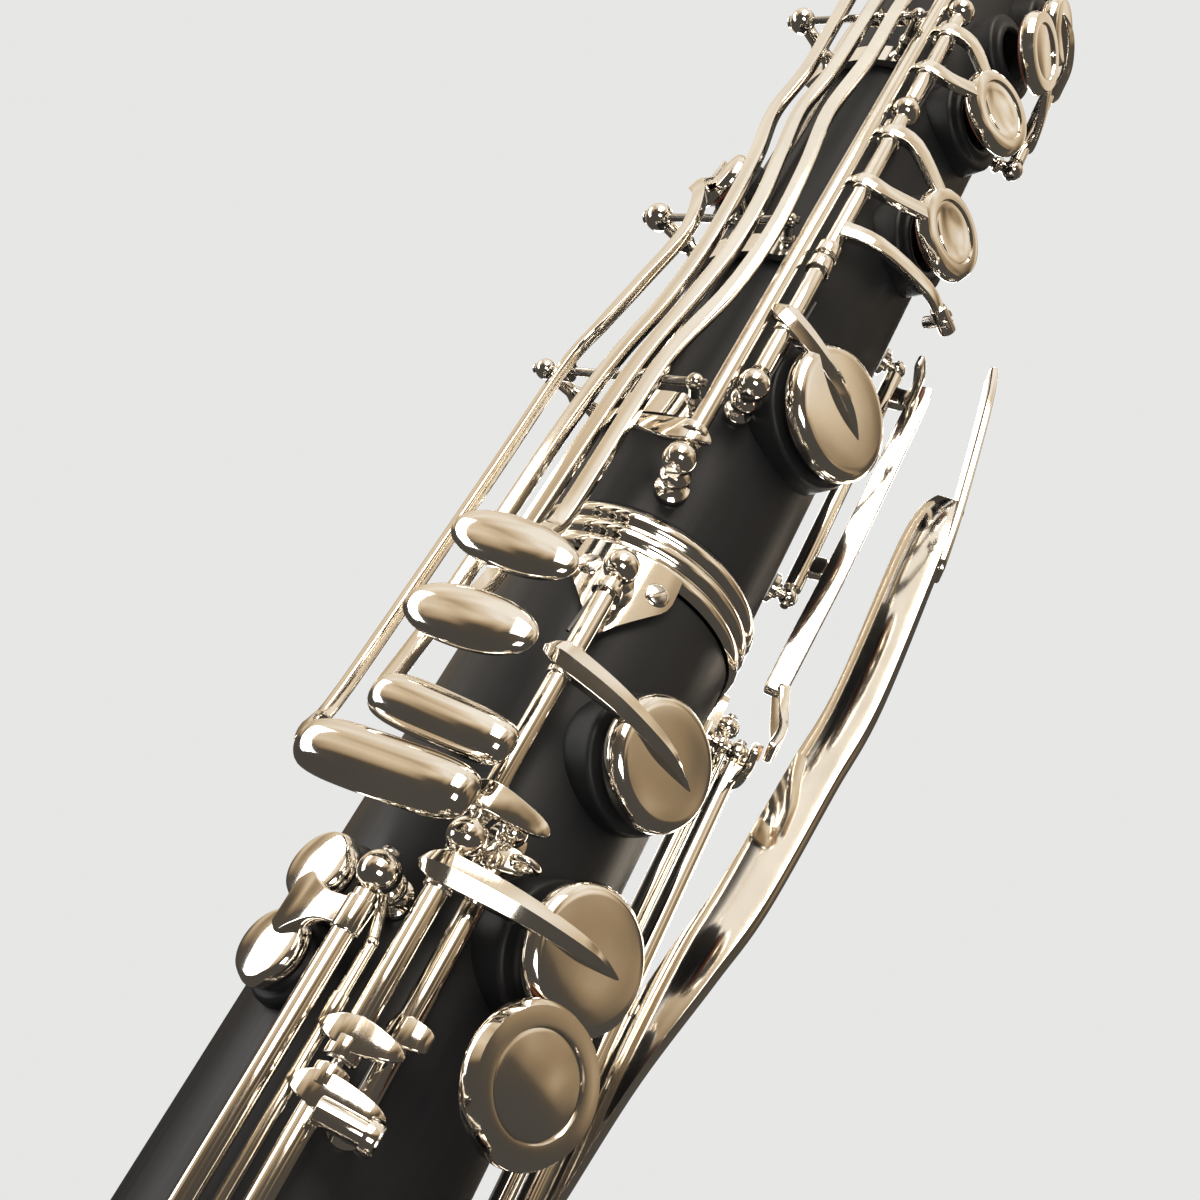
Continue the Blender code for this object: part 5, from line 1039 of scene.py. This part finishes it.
def make_lower_keys():
    s = LOWER_SEATS
    foot = ear_plate(FRONT_LINE, -57.5, -24, 28.4, 3.4, 1.2)
    key("first_cup_key", FRONT_LINE, between(-16.3, -63.1),
        [cup_at(s, "cup_1"), arm_to(FRONT_LINE, -34.5, s, "cup_1", 11), foot, collar_on(*FRONT_LINE, -21.2, 2.3, 1.2),
         collar_on(*FRONT_LINE, -34.5, 1.95, 5.2)])
    lug = ear_plate(FRONT_LINE, -91, -29, 29.8, 3.4, 1.3, 9.0)
    key("second_cup_key", FRONT_LINE, (-94.3, -63.1 - POST_CLEAR),
        [cup_at(s, "cup_2", 3.6), arm_to(FRONT_LINE, -68.6, s, "cup_2", 10, 3.6), lug, collar_on(*FRONT_LINE, -92.8, 2.2, 2.6),
         collar_on(*FRONT_LINE, -68.6, 1.95, 5.0), cup(*FINGER_PLATE, PLATE_THICK, "sunk"),
         bar([(2, 26.3, -74, 5, 1.8), (1, 27.7, -86, 5, 1.8)])], 7.5)
    lug = ear_plate(FRONT_LINE, -98, -26, 29.8, 3.4, 1.3, 9.0)
    barrel = rod(at(-40, 30.9, -100.2), at(-27.5, 30.9, -100.2), 1.6, 20)
    screw = slotted(at(-27.2, 30.9, -100.2), around(-27), 1.9, 1.0, 40)
    hub = turned([(1.2, 0.9), (2.1, 0.8), (2.3, 0), (2.1, -0.8), (1.2, -0.9)], at(-27.5, 30.9, -100.2), around(-27), 24)
    key("second_plate_key", FRONT_LINE, (-137 + POST_CLEAR, -94.9),
        [cup_at(s, "plate_2", PLATE_THICK, "sunk"), yoke_to(FRONT_LINE, -124, s, "plate_2"), lug, barrel, hub, screw,
         collar_on(*FRONT_LINE, -96.4, 2.2, 2.6)], 8.0)
    key("third_plate_key", FRONT_LINE, between(-137, -200),
        [cup_at(s, "plate_3", PLATE_THICK, "sunk"), yoke_to(FRONT_LINE, -160, s, "plate_3"),
         cup_at(s, "below_plate_3"), arm_to(FRONT_LINE, -184, s, "below_plate_3")], 8.0)
    lugs = [bar([(-37, 25.4, z, 0.8, 1.0), (-32, 26.2, z, 3.6, 2.0), (-27, 27.0, z, 3.4, 1.5), (-24, 26.8, z, 2.2, 1.2)],
                corner=0.25, ends=0.3) for z in (-63.0, -87.5)]
    eye = ring_wire(at(-24.5, 28.6, -63.0), 1.7, 0.55, UP)
    key("link_key", PLATE_LINE, between(-58.5, -98.5, SMALL_BALL),
        lugs + [eye, collar_on(*PLATE_LINE, -63.0, 1.95, 3.6), collar_on(*PLATE_LINE, -87.5, 1.95, 3.6)], 12.0)
    key("left_cups_key", LEFT_LINE, between(-72, -150),
        [cup_at(s, "left_1", 3.2), cup_at(s, "left_2", 3.2),
         bar([(-58, 28.4, -78.4, 4, 2.2), (-67, 27.6, -78.4, 4, 1.8), (-75, 26.6, -78.4, 7, 1.6),
              (-80, 26.0, -78.4, 9, 1.4), (-85, 25.8, -78.4, 6, 1.2)], corner=0.3),
         collar_on(*LEFT_LINE, -78.4, 1.95, 4.6)])
    reach = bar([(-42.5, 28.9, -222, 4.4, 2.2), (-52, 32.0, -222, 4.0, 1.8), (-62, 33.4, -222, 4.0, 1.6)])
    key("low_g_sharp_key", FRONT_LINE, between(-200, -232),
        [cup_at(s, "low_g_sharp"), arm_to(FRONT_LINE, -214, s, "low_g_sharp"), reach, touch(-66, 33.8, -221, 19, 9.6)])
    over = bar([(-78, 26.6, -244, 1.2, 1.4), (-72, 27.9, -244, 4.4, 2.2), (-62, 32.0, -244, 4.4, 1.8), (-54, 32.6, -244, 4.4, 1.8),
                (-42.5, 32.2, -244, 4.4, 1.8), (-20, 30.4, -245, 3.8, 1.6), (-4, 28.6, -246, 2.6, 1.4), (10, 28.1, -246, 0.5, 0.8)],
               corner=0.25, ends=0.3)
    key("low_f_key", LOW_LINE, between(-212, -290), [cup_at(s, "low_f"), over, touch(-54, 33.6, -244, 19, 9.6)], 6.0)
    riser = bar([(-78, 26.6, -300, 1.2, 1.4), (-72, 27.9, -300, 5.0, 2.2), (-66, 31.5, -297, 5.0, 1.8), (-60, 32.8, -284, 4.4, 1.8),
                 (-56, 33.4, -268, 4.4, 1.8)], corner=0.3)
    key("low_e_key", LOW_LINE, between(-290, -345),
        [cup_at(s, "low_e"), arm_to(LOW_LINE, -326, s, "low_e", rise=2.0), riser, touch(-54, 33.6, -263, 17, 9.6)], 6.0)

    bridge_foot = bar([(61, 26.8, -22, 1.2, 1.4), (57, 28.0, -22, 4.0, 2.0), (48, 28.4, -21.5, 4.0, 1.6), (42, 28.2, -19, 4.0, 1.4)],
                      corner=0.3)
    pad = bar([(44.5, 29.1, -20.4, 3.2, 0.5), (42, 29.0, -19, 3.2, 0.5)], corner=0.2, mat="cork", ends=0.1)
    key("low_f_sharp_key", RIGHT_LINE, between(-18.2, -304, SMALL_BALL),
        [cup_at(s, "low_f_sharp"), arm_to(RIGHT_LINE, -284, s, "low_f_sharp"), bridge_foot, pad], -6.0)
    lever_foot = bar([(60, 24.6, -60, 1.2, 1.4), (64, 25.4, -60, 4.0, 2.0), (75, 25.4, -60, 4.0, 1.6), (84, 26.0, -60, 4.0, 1.4)],
                     corner=0.3)
    over = bar([(68, 24.6, -372, 1.2, 1.4), (64, 25.2, -372, 4.4, 2.0), (57, 29.6, -372, 4.4, 1.8), (40, 30.6, -372, 4.4, 1.8),
                (20, 29.2, -372, 3.4, 1.6), (10, 28.6, -372, 2.4, 1.3), (-4, 28.1, -372, 0.5, 0.8)], corner=0.25, ends=0.3)
    key("low_e_flat_key", RIGHT_LOW_LINE, between(-13.2, -390, SMALL_BALL),
        [cup_at(s, "low_e_flat"), over, lever_foot], -6.0)

    sweep = bar([(74, 31.0, -99, 4.0, 2.4), (71, 31.4, -88, 5.0, 2.6), (65, 32.2, -70, 6.5, 2.6),
                 (61, 35.0, -52, 8.0, 3.0), (60, 37.8, -38, 8.2, 3.2), (60, 40.4, -14, 8.2, 3.2),
                 (60, 42.4, 5, 8.2, 3.2), (60, 42.4, 42, 8.2, 3.0), (60, 44.2, 53, 5.5, 2.6)],
                outward(-65), corner=0.14, density=8, ends=0.4)
    plate = bar([(60, 47.0, 36, 5.0, 1.5), (60, 46.0, 50, 10.0, 1.5), (60, 43.4, 76, 10.0, 1.5),
                 (60, 41.6, 88, 5.0, 1.5)], outward(43), density=8)
    nose = bar([(75.5, 31.0, -74.5, 4.0, 2.2), (83, 28.6, -72, 3.8, 1.6), (86, 24.6, -68, 3.6, 1.4),
                (85, 23.7, -64, 3.6, 1.2), (84.5, 23.7, -58.5, 3.6, 1.2)])
    key("big_lever", LEVER_LINE, between(-68.5, -102.5, 2.2), [sweep, plate, nose, collar_on(*LEVER_LINE, -74, 2.0, 2),
                                                               collar_on(*LEVER_LINE, -97, 2.0, 3)])


# ---------------------------------------------------------------- keys of the upper joint

RING_LINE, TRILL_LINE, BRIDGE_LINE, UPPER_RIGHT_LINE = (-34.5, 28.0), (-43.5, 28.0), (59.0, 23.6), (48.0, 27.0)
THROAT_LINE, THUMB_LINE, REGISTER_PIN = (-27.0, 27.0), (150.0, 26.5), (180.0, 27.0, 236.0)


def make_upper_posts():
    posts_and_rod("ring_posts", [(*RING_LINE, (26.0, 104.0, 140.0))], UPPER_R, BALL_R, 2.4,
                  extra=spring(RING_LINE, 29.0, 50.0, 1)[:1] + spring(RING_LINE, 107.0, 124.0, 1)[:1])
    posts_and_rod("trill_posts", [(*TRILL_LINE, (6.0, 201.0))], UPPER_R)
    posts_and_rod("bridge_posts", [(*BRIDGE_LINE, (14.0, 74.0))], UPPER_R, 1.7)
    posts_and_rod("upper_right_posts", [(*UPPER_RIGHT_LINE, (138.0, 182.0))], UPPER_R, 2.2)
    posts_and_rod("throat_posts", [(*THROAT_LINE, (232.0, 292.0))], UPPER_R, 2.2)
    posts_and_rod("thumb_posts", [(*THUMB_LINE, (132.0, 168.0))], UPPER_R, 2.2)
    phi, rho, z = REGISTER_PIN
    pin = at(phi, rho, z)
    parts = [rod(pin - X * 0.008, pin + X * 0.008, STEEL_R, 12, "screw")]
    for s in (-1, 1):
        middle = pin + X * (s * 0.0066)
        parts.append(ball(middle, 2.2))
        parts.append(turned([(1.3, 0), (1.2, -2.4), (1.9, -3.2), (1.2, -4.0), (2.6, -5.6), (2.6, -6.2)], middle, BACK, 24))
        parts += slotted(pin + X * (s * 0.0084), X * s, 1.1, 0.6)
    parts.append(plate_on_body([(z + h, 180 - p, 180 + p) for h, p in
                                ((-4.6, 16), (-4.0, 20.5), (-2.4, 23.5), (2.4, 23.5), (4.0, 20.5), (4.6, 16))], 19.9, 21.6, across=12))
    finish("register_posts", parts)


def make_upper_keys():
    s = UPPER_SEATS
    key("big_cup_key", RING_LINE, (26.0 + POST_CLEAR, 58.0),
        [cup_at(s, "big"), arm_to(RING_LINE, 41.0, s, "big", 10), collar_on(*RING_LINE, 41, 1.95, 5.4), collar_on(*RING_LINE, 56.4, 2.2, 2.8)])
    for name, low, high, arms, cup_name in (
            ("lower_ring_key", 58.6, 104 - POST_CLEAR, (80.0, 95.5), "ring_lower"),
            ("upper_ring_key", 104 + POST_CLEAR, 140 - POST_CLEAR, (117.5, 131.0), "ring_upper")):
        phi, z, r, seat = s[cup_name]
        parts = [cup_at(s, cup_name, PLATE_THICK, "dish")]
        for arm_z in arms:
            inner_z = z + (arm_z - z) * 0.45
            parts.append(bar([(-41, 27.8, arm_z, 0.8, 1.0), (-35, 29.0, arm_z, 3.2, 2.0), (-25, 28.8, arm_z, 3.2, 1.6),
                              (-14 + phi, 27.6, inner_z, 3.0, 1.6), (phi - 13, 27.2, inner_z, 3.2, 1.4)], corner=0.25, ends=0.3))
            parts.append(collar_on(*RING_LINE, arm_z, 1.95, 4.0))
        if name == "lower_ring_key":
            parts.append(collar_on(*RING_LINE, 60.4, 2.2, 2.8))
            tee = bar([(-34.5, 28.9, 66, 4.0, 1.8), (-20, 30.2, 66, 3.2, 1.4), (2, 30.6, 66, 2.8, 1.3), (15, 30.0, 66, 2.4, 1.2)],
                      corner=0.3)
            parts += [tee] + slotted(at(15, 30.4, 66), outward(15), 1.7, 1.0, 60)
            parts.append(rod(at(15, 26.6, 66), at(15, 30.6, 66), 1.15, 16, "screw"))
            parts.append(rod(at(10, 30.3, 66), at(20, 30.3, 66), 1.5, 18))
        key(name, RING_LINE, (low, high), parts, 7.5)
    side_foot = bar([(-37.5, 28.2, 11.0, 0.8, 1.2), (-43.5, 29.0, 11.0, 4.0, 1.6), (-52, 27.8, 11.0, 4.2, 1.3), (-64, 27.2, 11.5, 2.6, 1.2)],
                    corner=0.25, ends=0.3)
    key("trill_key", TRILL_LINE, between(201, 6),
        [cup_at(s, "trill"), arm_to(TRILL_LINE, 189, s, "trill"), side_foot, collar_on(*TRILL_LINE, 11.6, 2.4, 1.4)])

    blade = bar([(54.5, 29.6, 71, 3.0, 2.0), (54.5, 29.6, 66, 3.8, 2.0), (54.5, 29.2, 29, 3.8, 2.0),
                 (54.5, 28.4, 6, 3.8, 2.0), (54.5, 28.0, -6, 3.6, 2.0)], outward(-50), corner=0.16)
    web = bar([(59, 24.4, 22, 4.0, 2.2), (54.5, 28.2, 22, 4.0, 1.8)])
    finger = bar([(54.5, 28.8, -4, 3.8, 2.0), (52, 30.4, -10, 3.8, 1.8), (47, 31.4, -15, 3.8, 1.6),
                  (43, 31.0, -19.5, 3.8, 1.4)], corner=0.3)
    lug = bar([(59, 24.4, 67, 4.4, 2.2), (55, 27.8, 67, 4.2, 1.8), (44, 27.8, 67, 4.0, 1.6),
               (32, 27.2, 67, 3.0, 1.3)], corner=0.3)
    key("bridge_lever", BRIDGE_LINE, between(74, 14, 1.7), [blade, web, finger, lug])
    key("first_finger_key", UPPER_RIGHT_LINE, (138 + 2.5, 158.0),
        [cup_at(s, "first_finger", PLATE_THICK, "sunk"), yoke_to(UPPER_RIGHT_LINE, 149, s, "first_finger")], -8.0)
    key("spoon_key", UPPER_RIGHT_LINE, (158.6, 182 - 2.5), [cup_at(s, "spoon"), arm_to(UPPER_RIGHT_LINE, 170, s, "spoon")])
    throat_touch = bar([(-27, 27.9, 239, 4.0, 2.2), (-33, 30.5, 236, 4.0, 1.8), (-37, 31.4, 226, 5.0, 1.8),
                        (-37, 31.4, 214, 6.4, 1.8), (-37, 31.2, 208, 3.0, 1.4)], corner=0.6, density=6)
    key("throat_a_key", THROAT_LINE, (232 + 2.5, 261.5), [cup_at(s, "throat_a"), arm_to(THROAT_LINE, 249, s, "throat_a"), throat_touch])
    sharp_touch = bar([(-27, 27.9, 268, 4.0, 2.2), (-38, 30.6, 262, 4.0, 1.8), (-49, 33.0, 252, 5.0, 1.8),
                       (-49, 33.4, 226, 6.4, 1.8), (-49, 33.2, 216, 3.0, 1.4)], corner=0.6, density=6)
    key("throat_g_sharp_key", THROAT_LINE, (262.1, 292 - 2.5),
        [cup_at(s, "throat_g_sharp"), arm_to(THROAT_LINE, 276, s, "throat_g_sharp"), sharp_touch])
    key("thumb_key", THUMB_LINE, between(168, 132, 2.2),
        [cup_at(s, "thumb", PLATE_THICK, "dish"), yoke_to(THUMB_LINE, 150, s, "thumb")], 8.0)

    phi, rho, z = REGISTER_PIN
    pin = at(phi, rho, z)
    tube = rod(pin - X * 0.004, pin + X * 0.004, TUBE_R, 24)
    top = s["register"][3] + GAP + 3.0
    spine = bar_through([at(180, 29.5, 172), at(180, 31.2, 178), at(180, 31.4, 196), at(180, 29.6, 214),
                         at(180, rho + 0.6, z), at(180, rho + 1.0, 262), at(180, top + 0.4, 298),
                         at(180, top + 0.4, 314), at(180, 24.4, 334), at(180, 24.4, NECK_RING_Z + 2)],
                        [(6, 1.4), (10, 1.8), (10, 1.8), (5, 2), (5, 2.4), (4.4, 2), (3.6, 1.8), (3.6, 1.8),
                         (3.4, 1.6), (3.4, 1.6)], BACK, corner=0.5, density=6)
    finish("register_key", [spine, tube] + cup(180, 306, 5.6, s["register"][3], 3.0), pivot=pin)


# ---------------------------------------------------------------- the four side levers

PIN_PHI = -68.7
PINS = {22.0: (26.5, (-20.4, 1.8), (7.9, 1.5), 0.0), 65.0: (26.5, (-18.3, 2.6), (7.6, 1.5), 0.0),
        129.0: (29.0, (-13.4, 2.6), (11.1, 1.4), -5.5)}
LEVER_W, LEVER_T = 2.6, 1.8
STRAP_RHO = UPPER_R + GAP + 0.9


def on_pin(s, z):
    return at(PIN_PHI, PINS[z][0], z) + around(PIN_PHI) * (s * MM)


def make_side_lever_posts():
    parts = [rod(at(-83, STRAP_RHO + 0.7, 18.3), at(-83, STRAP_RHO + 0.7, 132.7), 0.9, 16)]
    for z, (_, left_end, right_end, lean) in PINS.items():
        parts.append(plate_on_body([(z + h, -113 + i, -50 - i) for h, i in ((-2.6, 5), (-2.2, 2), (-1.2, 0), (1.2, 0), (2.2, 2), (2.6, 5))],
                                   STRAP_RHO - 0.6, STRAP_RHO + 0.8, across=20))
        parts.append(rod(on_pin(left_end[0], z), on_pin(right_end[0], z), STEEL_R, 12, "screw"))
        for (s, r), turn in ((left_end, 0.0), (right_end, lean)):
            head = on_pin(s, z)
            out = away_from_bore(head)
            phi = math.degrees(math.atan2(out.x, -out.y))
            foot = at(phi + turn, STRAP_RHO, z)
            down = (foot - head)
            length = down.length / MM
            stem = min(1.3, r * 0.65)
            parts.append(ball(head, r, sides=28))
            parts.append(turned([(stem, 0), (stem, -0.45 * length), (stem * 1.5, -0.55 * length), (stem * 1.5, -0.62 * length),
                                 (stem, -0.72 * length), (stem * 1.15, -0.86 * length), (stem * 2.0, -0.97 * length),
                                 (stem * 2.0, -length)], head, -down, 24, "plating", 0.2))
            parts += slotted(head + around(PIN_PHI) * (r * 0.9 * MM * (1 if s > 0 else -1)), around(PIN_PHI) * (1 if s > 0 else -1),
                             r * 0.45, 0.6, 15)
    finish("side_lever_posts", parts)


def side_lever(name, stations, pin_z, cup_name, touch_parts):
    phi, z, r, seat = UPPER_SEATS[cup_name]
    top = seat + GAP + 3.2
    coarse = list(stations)
    stations = [(p, rho, height, LEVER_W, LEVER_T) for p, rho, height in stations]
    stations += [(phi, top + 0.5, z - 3, 2.6, 1.4), (phi, top + 0.3, z + 4.2, 0.5, 0.8)]
    spine = bar(stations, corner=0.22, density=6, ends=0.3)
    below = max((s for s in coarse if s[2] <= pin_z), key=lambda s: s[2])
    above = min((s for s in coarse if s[2] > pin_z), key=lambda s: s[2])
    crossing = at(*below).lerp(at(*above), (pin_z - below[2]) / (above[2] - below[2]))
    s = (crossing - at(PIN_PHI, 0, pin_z)).dot(around(PIN_PHI)) / MM
    barrel = rod(on_pin(s - 1.0, pin_z), on_pin(s + 1.0, pin_z), 1.9, 24)
    lug = rod(on_pin(s, pin_z), crossing, 1.1, 16)
    finish(name, [spine, barrel, lug] + cup(phi, z, r, seat, 3.2) + touch_parts, pivot=on_pin(0, pin_z))


def make_side_levers():
    lift = outward(-62)
    side_lever("side_lever_1", [
        (-87.5, 36.2, -60), (-95.0, 34.4, -56), (-99.0, 32.5, -48), (-99.5, 32.0, -4), (-99.0, 32.0, 22), (-92.3, 32.0, 31),
        (-86.0, 32.0, 42), (-81.0, 32.0, 55), (-86.0, 32.0, 67), (-100.0, 30.0, 76)], 22.0, "side_1",
        [oval(at(-86.8, 36.5, -60.6), at(-43.0, 37.0, -61.8), 8.8, 7.0, lift, 4.0)])
    side_lever("side_lever_2", [
        (-77.0, 34.6, -50), (-80.0, 32.6, -42), (-80.5, 32.0, -36), (-79.7, 32.0, -17), (-78.9, 32.0, 5), (-76.1, 32.0, 21),
        (-71.5, 32.0, 35), (-69.8, 32.0, 49), (-70.5, 32.0, 63), (-72.5, 32.0, 77), (-76.4, 32.0, 91),
        (-74.0, 32.0, 105), (-75.0, 32.0, 122), (-77.0, 32.0, 150), (-82.0, 29.6, 166)], 65.0, "side_2",
        [oval(at(-78.0, 35.0, -50.8), at(-41.5, 36.0, -53.2), 7.8, 6.2, lift, 3.8)])
    side_lever("side_lever_3", [
        (-67.0, 37.2, -38), (-69.5, 34.2, -33), (-70.5, 32.2, -27), (-69.9, 32.0, -17), (-69.1, 32.0, 3), (-67.5, 32.0, 21),
        (-63.0, 32.0, 39), (-61.0, 32.0, 51), (-61.5, 32.0, 64), (-64.0, 32.0, 77), (-66.5, 32.0, 91),
        (-64.2, 32.0, 105), (-64.0, 32.0, 132), (-65.5, 32.0, 180), (-74.0, 29.6, 199)], 129.0, "side_3",
        [oval(at(-79.0, 38.8, -37.8), at(-47.6, 38.5, -39.1), 9.6, 5.0, lift, 2.2)])
    side_lever("side_lever_4", [
        (-60.5, 37.0, -25), (-61.5, 34.2, -19), (-61.5, 32.2, -13), (-61.2, 32.0, 14), (-59.5, 32.0, 25), (-54.2, 32.0, 40),
        (-52.5, 32.0, 56), (-54.0, 32.0, 74), (-57.0, 32.0, 91), (-54.8, 32.0, 109), (-55.0, 32.0, 127),
        (-54.0, 32.0, 140), (-53.5, 32.0, 186), (-61.5, 31.6, 204), (-64.5, 29.8, 228)], 129.0, "side_4",
        [oval(at(-80.0, 38.7, -23.2), at(-48.0, 38.3, -26.4), 9.2, 5.0, lift, 2.2)])


# ---------------------------------------------------------------- floor, light and camera

def make_studio():
    low = cad_low.z - 0.0005
    mesh = bpy.data.meshes.new("floor")
    mesh.from_pydata([(-8, -8, low), (8, -8, low), (8, 8, low), (-8, 8, low)], [], [(0, 1, 2, 3)])
    mesh.materials.append(floor_look())
    floor = bpy.data.objects.new("floor", mesh)
    bpy.context.scene.collection.objects.link(floor)
    floor.visible_glossy = False

    world = bpy.data.worlds.new("studio")
    bpy.context.scene.world = world
    world.use_nodes = True
    tree = world.node_tree
    back = tree.nodes["Background"]
    path = tree.nodes.new("ShaderNodeLightPath")
    where = tree.nodes.new("ShaderNodeTexCoord")
    slope = tree.nodes.new("ShaderNodeVectorMath")
    slope.operation = "DOT_PRODUCT"
    slope.inputs[1].default_value = (-0.35, -0.10, 0.93)
    shade = tree.nodes.new("ShaderNodeValToRGB")
    for place, colour in ((0.26, (0.075, 0.068, 0.060)), (0.41, (0.095, 0.075, 0.055)), (0.50, (0.34, 0.245, 0.145)),
                          (0.62, (0.72, 0.58, 0.41))):
        shade.color_ramp.elements.new(place).color = (*colour, 1.0)
    shade.color_ramp.elements.remove(shade.color_ramp.elements[0])
    shade.color_ramp.elements[-1].position = 0.82
    shade.color_ramp.elements[-1].color = (1.0, 0.95, 0.87, 1.0)
    panels = tree.nodes.new("ShaderNodeTexNoise")
    panels.inputs["Scale"].default_value = 1.7
    panels.inputs["Detail"].default_value = 1.5
    panels.inputs["Distortion"].default_value = 0.5
    tree.links.new(where.outputs["Generated"], panels.inputs["Vector"])
    tree.links.new(where.outputs["Generated"], slope.inputs[0])
    rise = tree.nodes.new("ShaderNodeMath")
    rise.operation = "MULTIPLY_ADD"
    rise.inputs[1].default_value = 0.58
    rise.inputs[2].default_value = -0.19
    tree.links.new(slope.outputs["Value"], rise.inputs[0])
    patch = tree.nodes.new("ShaderNodeMath")
    patch.operation = "MULTIPLY_ADD"
    patch.inputs[1].default_value = 0.9
    tree.links.new(panels.outputs["Fac"], patch.inputs[0])
    tree.links.new(rise.outputs["Value"], patch.inputs[2])
    tree.links.new(patch.outputs["Value"], shade.inputs["Fac"])
    seen = tree.nodes.new("ShaderNodeMix")
    seen.data_type = "RGBA"
    seen.inputs[6].default_value = (0.80, 0.80, 0.79, 1.0)
    tree.links.new(shade.outputs["Color"], seen.inputs[7])
    tree.links.new(path.outputs["Is Glossy Ray"], seen.inputs[0])
    tree.links.new(seen.outputs[2], back.inputs["Color"])

    aim = at(-30, 20, 0)
    for name, place, size, power, colour in (
            ("key", (-0.75, -0.60, 0.55), (0.55, 0.9), 13.0, (1.0, 0.93, 0.84)),
            ("fill", (0.9, -1.0, -0.1), (0.5, 1.4), 7.0, (1.0, 0.96, 0.92)),
            ("low", (-0.55, -0.95, -0.50), (0.5, 0.35), 5.0, (1.0, 0.95, 0.88)),
            ("rim", (0.7, 0.8, 0.6), (0.4, 1.2), 10.0, (1.0, 1.0, 1.0)),
            ("back", (-0.9, 0.7, 0.1), (0.4, 1.3), 8.0, (1.0, 1.0, 1.0))):
        light = bpy.data.lights.new(name, "AREA")
        light.shape = "RECTANGLE"
        light.size, light.size_y = size
        light.energy = power
        light.color = colour
        lamp = bpy.data.objects.new(name, light)
        lamp.location = aim + Vector(place)
        lamp.rotation_mode = "QUATERNION"
        lamp.rotation_quaternion = (-Vector(place)).to_track_quat("-Z", "Y")
        lamp.visible_camera = False
        lamp.visible_glossy = name != "fill"
        bpy.context.scene.collection.objects.link(lamp)

    lens = bpy.data.cameras.new("camera")
    lens.sensor_width = 36.0
    lens.lens = 41.5
    lens.clip_start, lens.clip_end = 0.01, 50.0
    camera = bpy.data.objects.new("camera", lens)
    right, up, rear = Vector((0.57476, -0.69899, 0.42553)), Vector((-0.66413, -0.09461, 0.74161)), Vector((-0.47812, -0.70885, -0.51859))
    turn = Matrix((right, up, rear)).transposed().to_4x4()
    camera.matrix_world = Matrix.Translation((-0.11282, -0.18979, -0.0795)) @ turn
    bpy.context.scene.collection.objects.link(camera)
    bpy.context.scene.camera = camera
    bpy.context.scene.view_settings.view_transform = "Standard"


for make in (make_bodies, make_collar, make_top_ring, make_tenon_cork, make_strap_ring, make_thumb_rest, make_neck, make_neck_cork,
             make_mouthpiece, make_ligature, make_neck_vent_key, make_bell, make_peg, make_lower_posts, make_lower_keys,
             make_upper_posts, make_upper_keys, make_side_lever_posts, make_side_levers, make_studio):
    make()
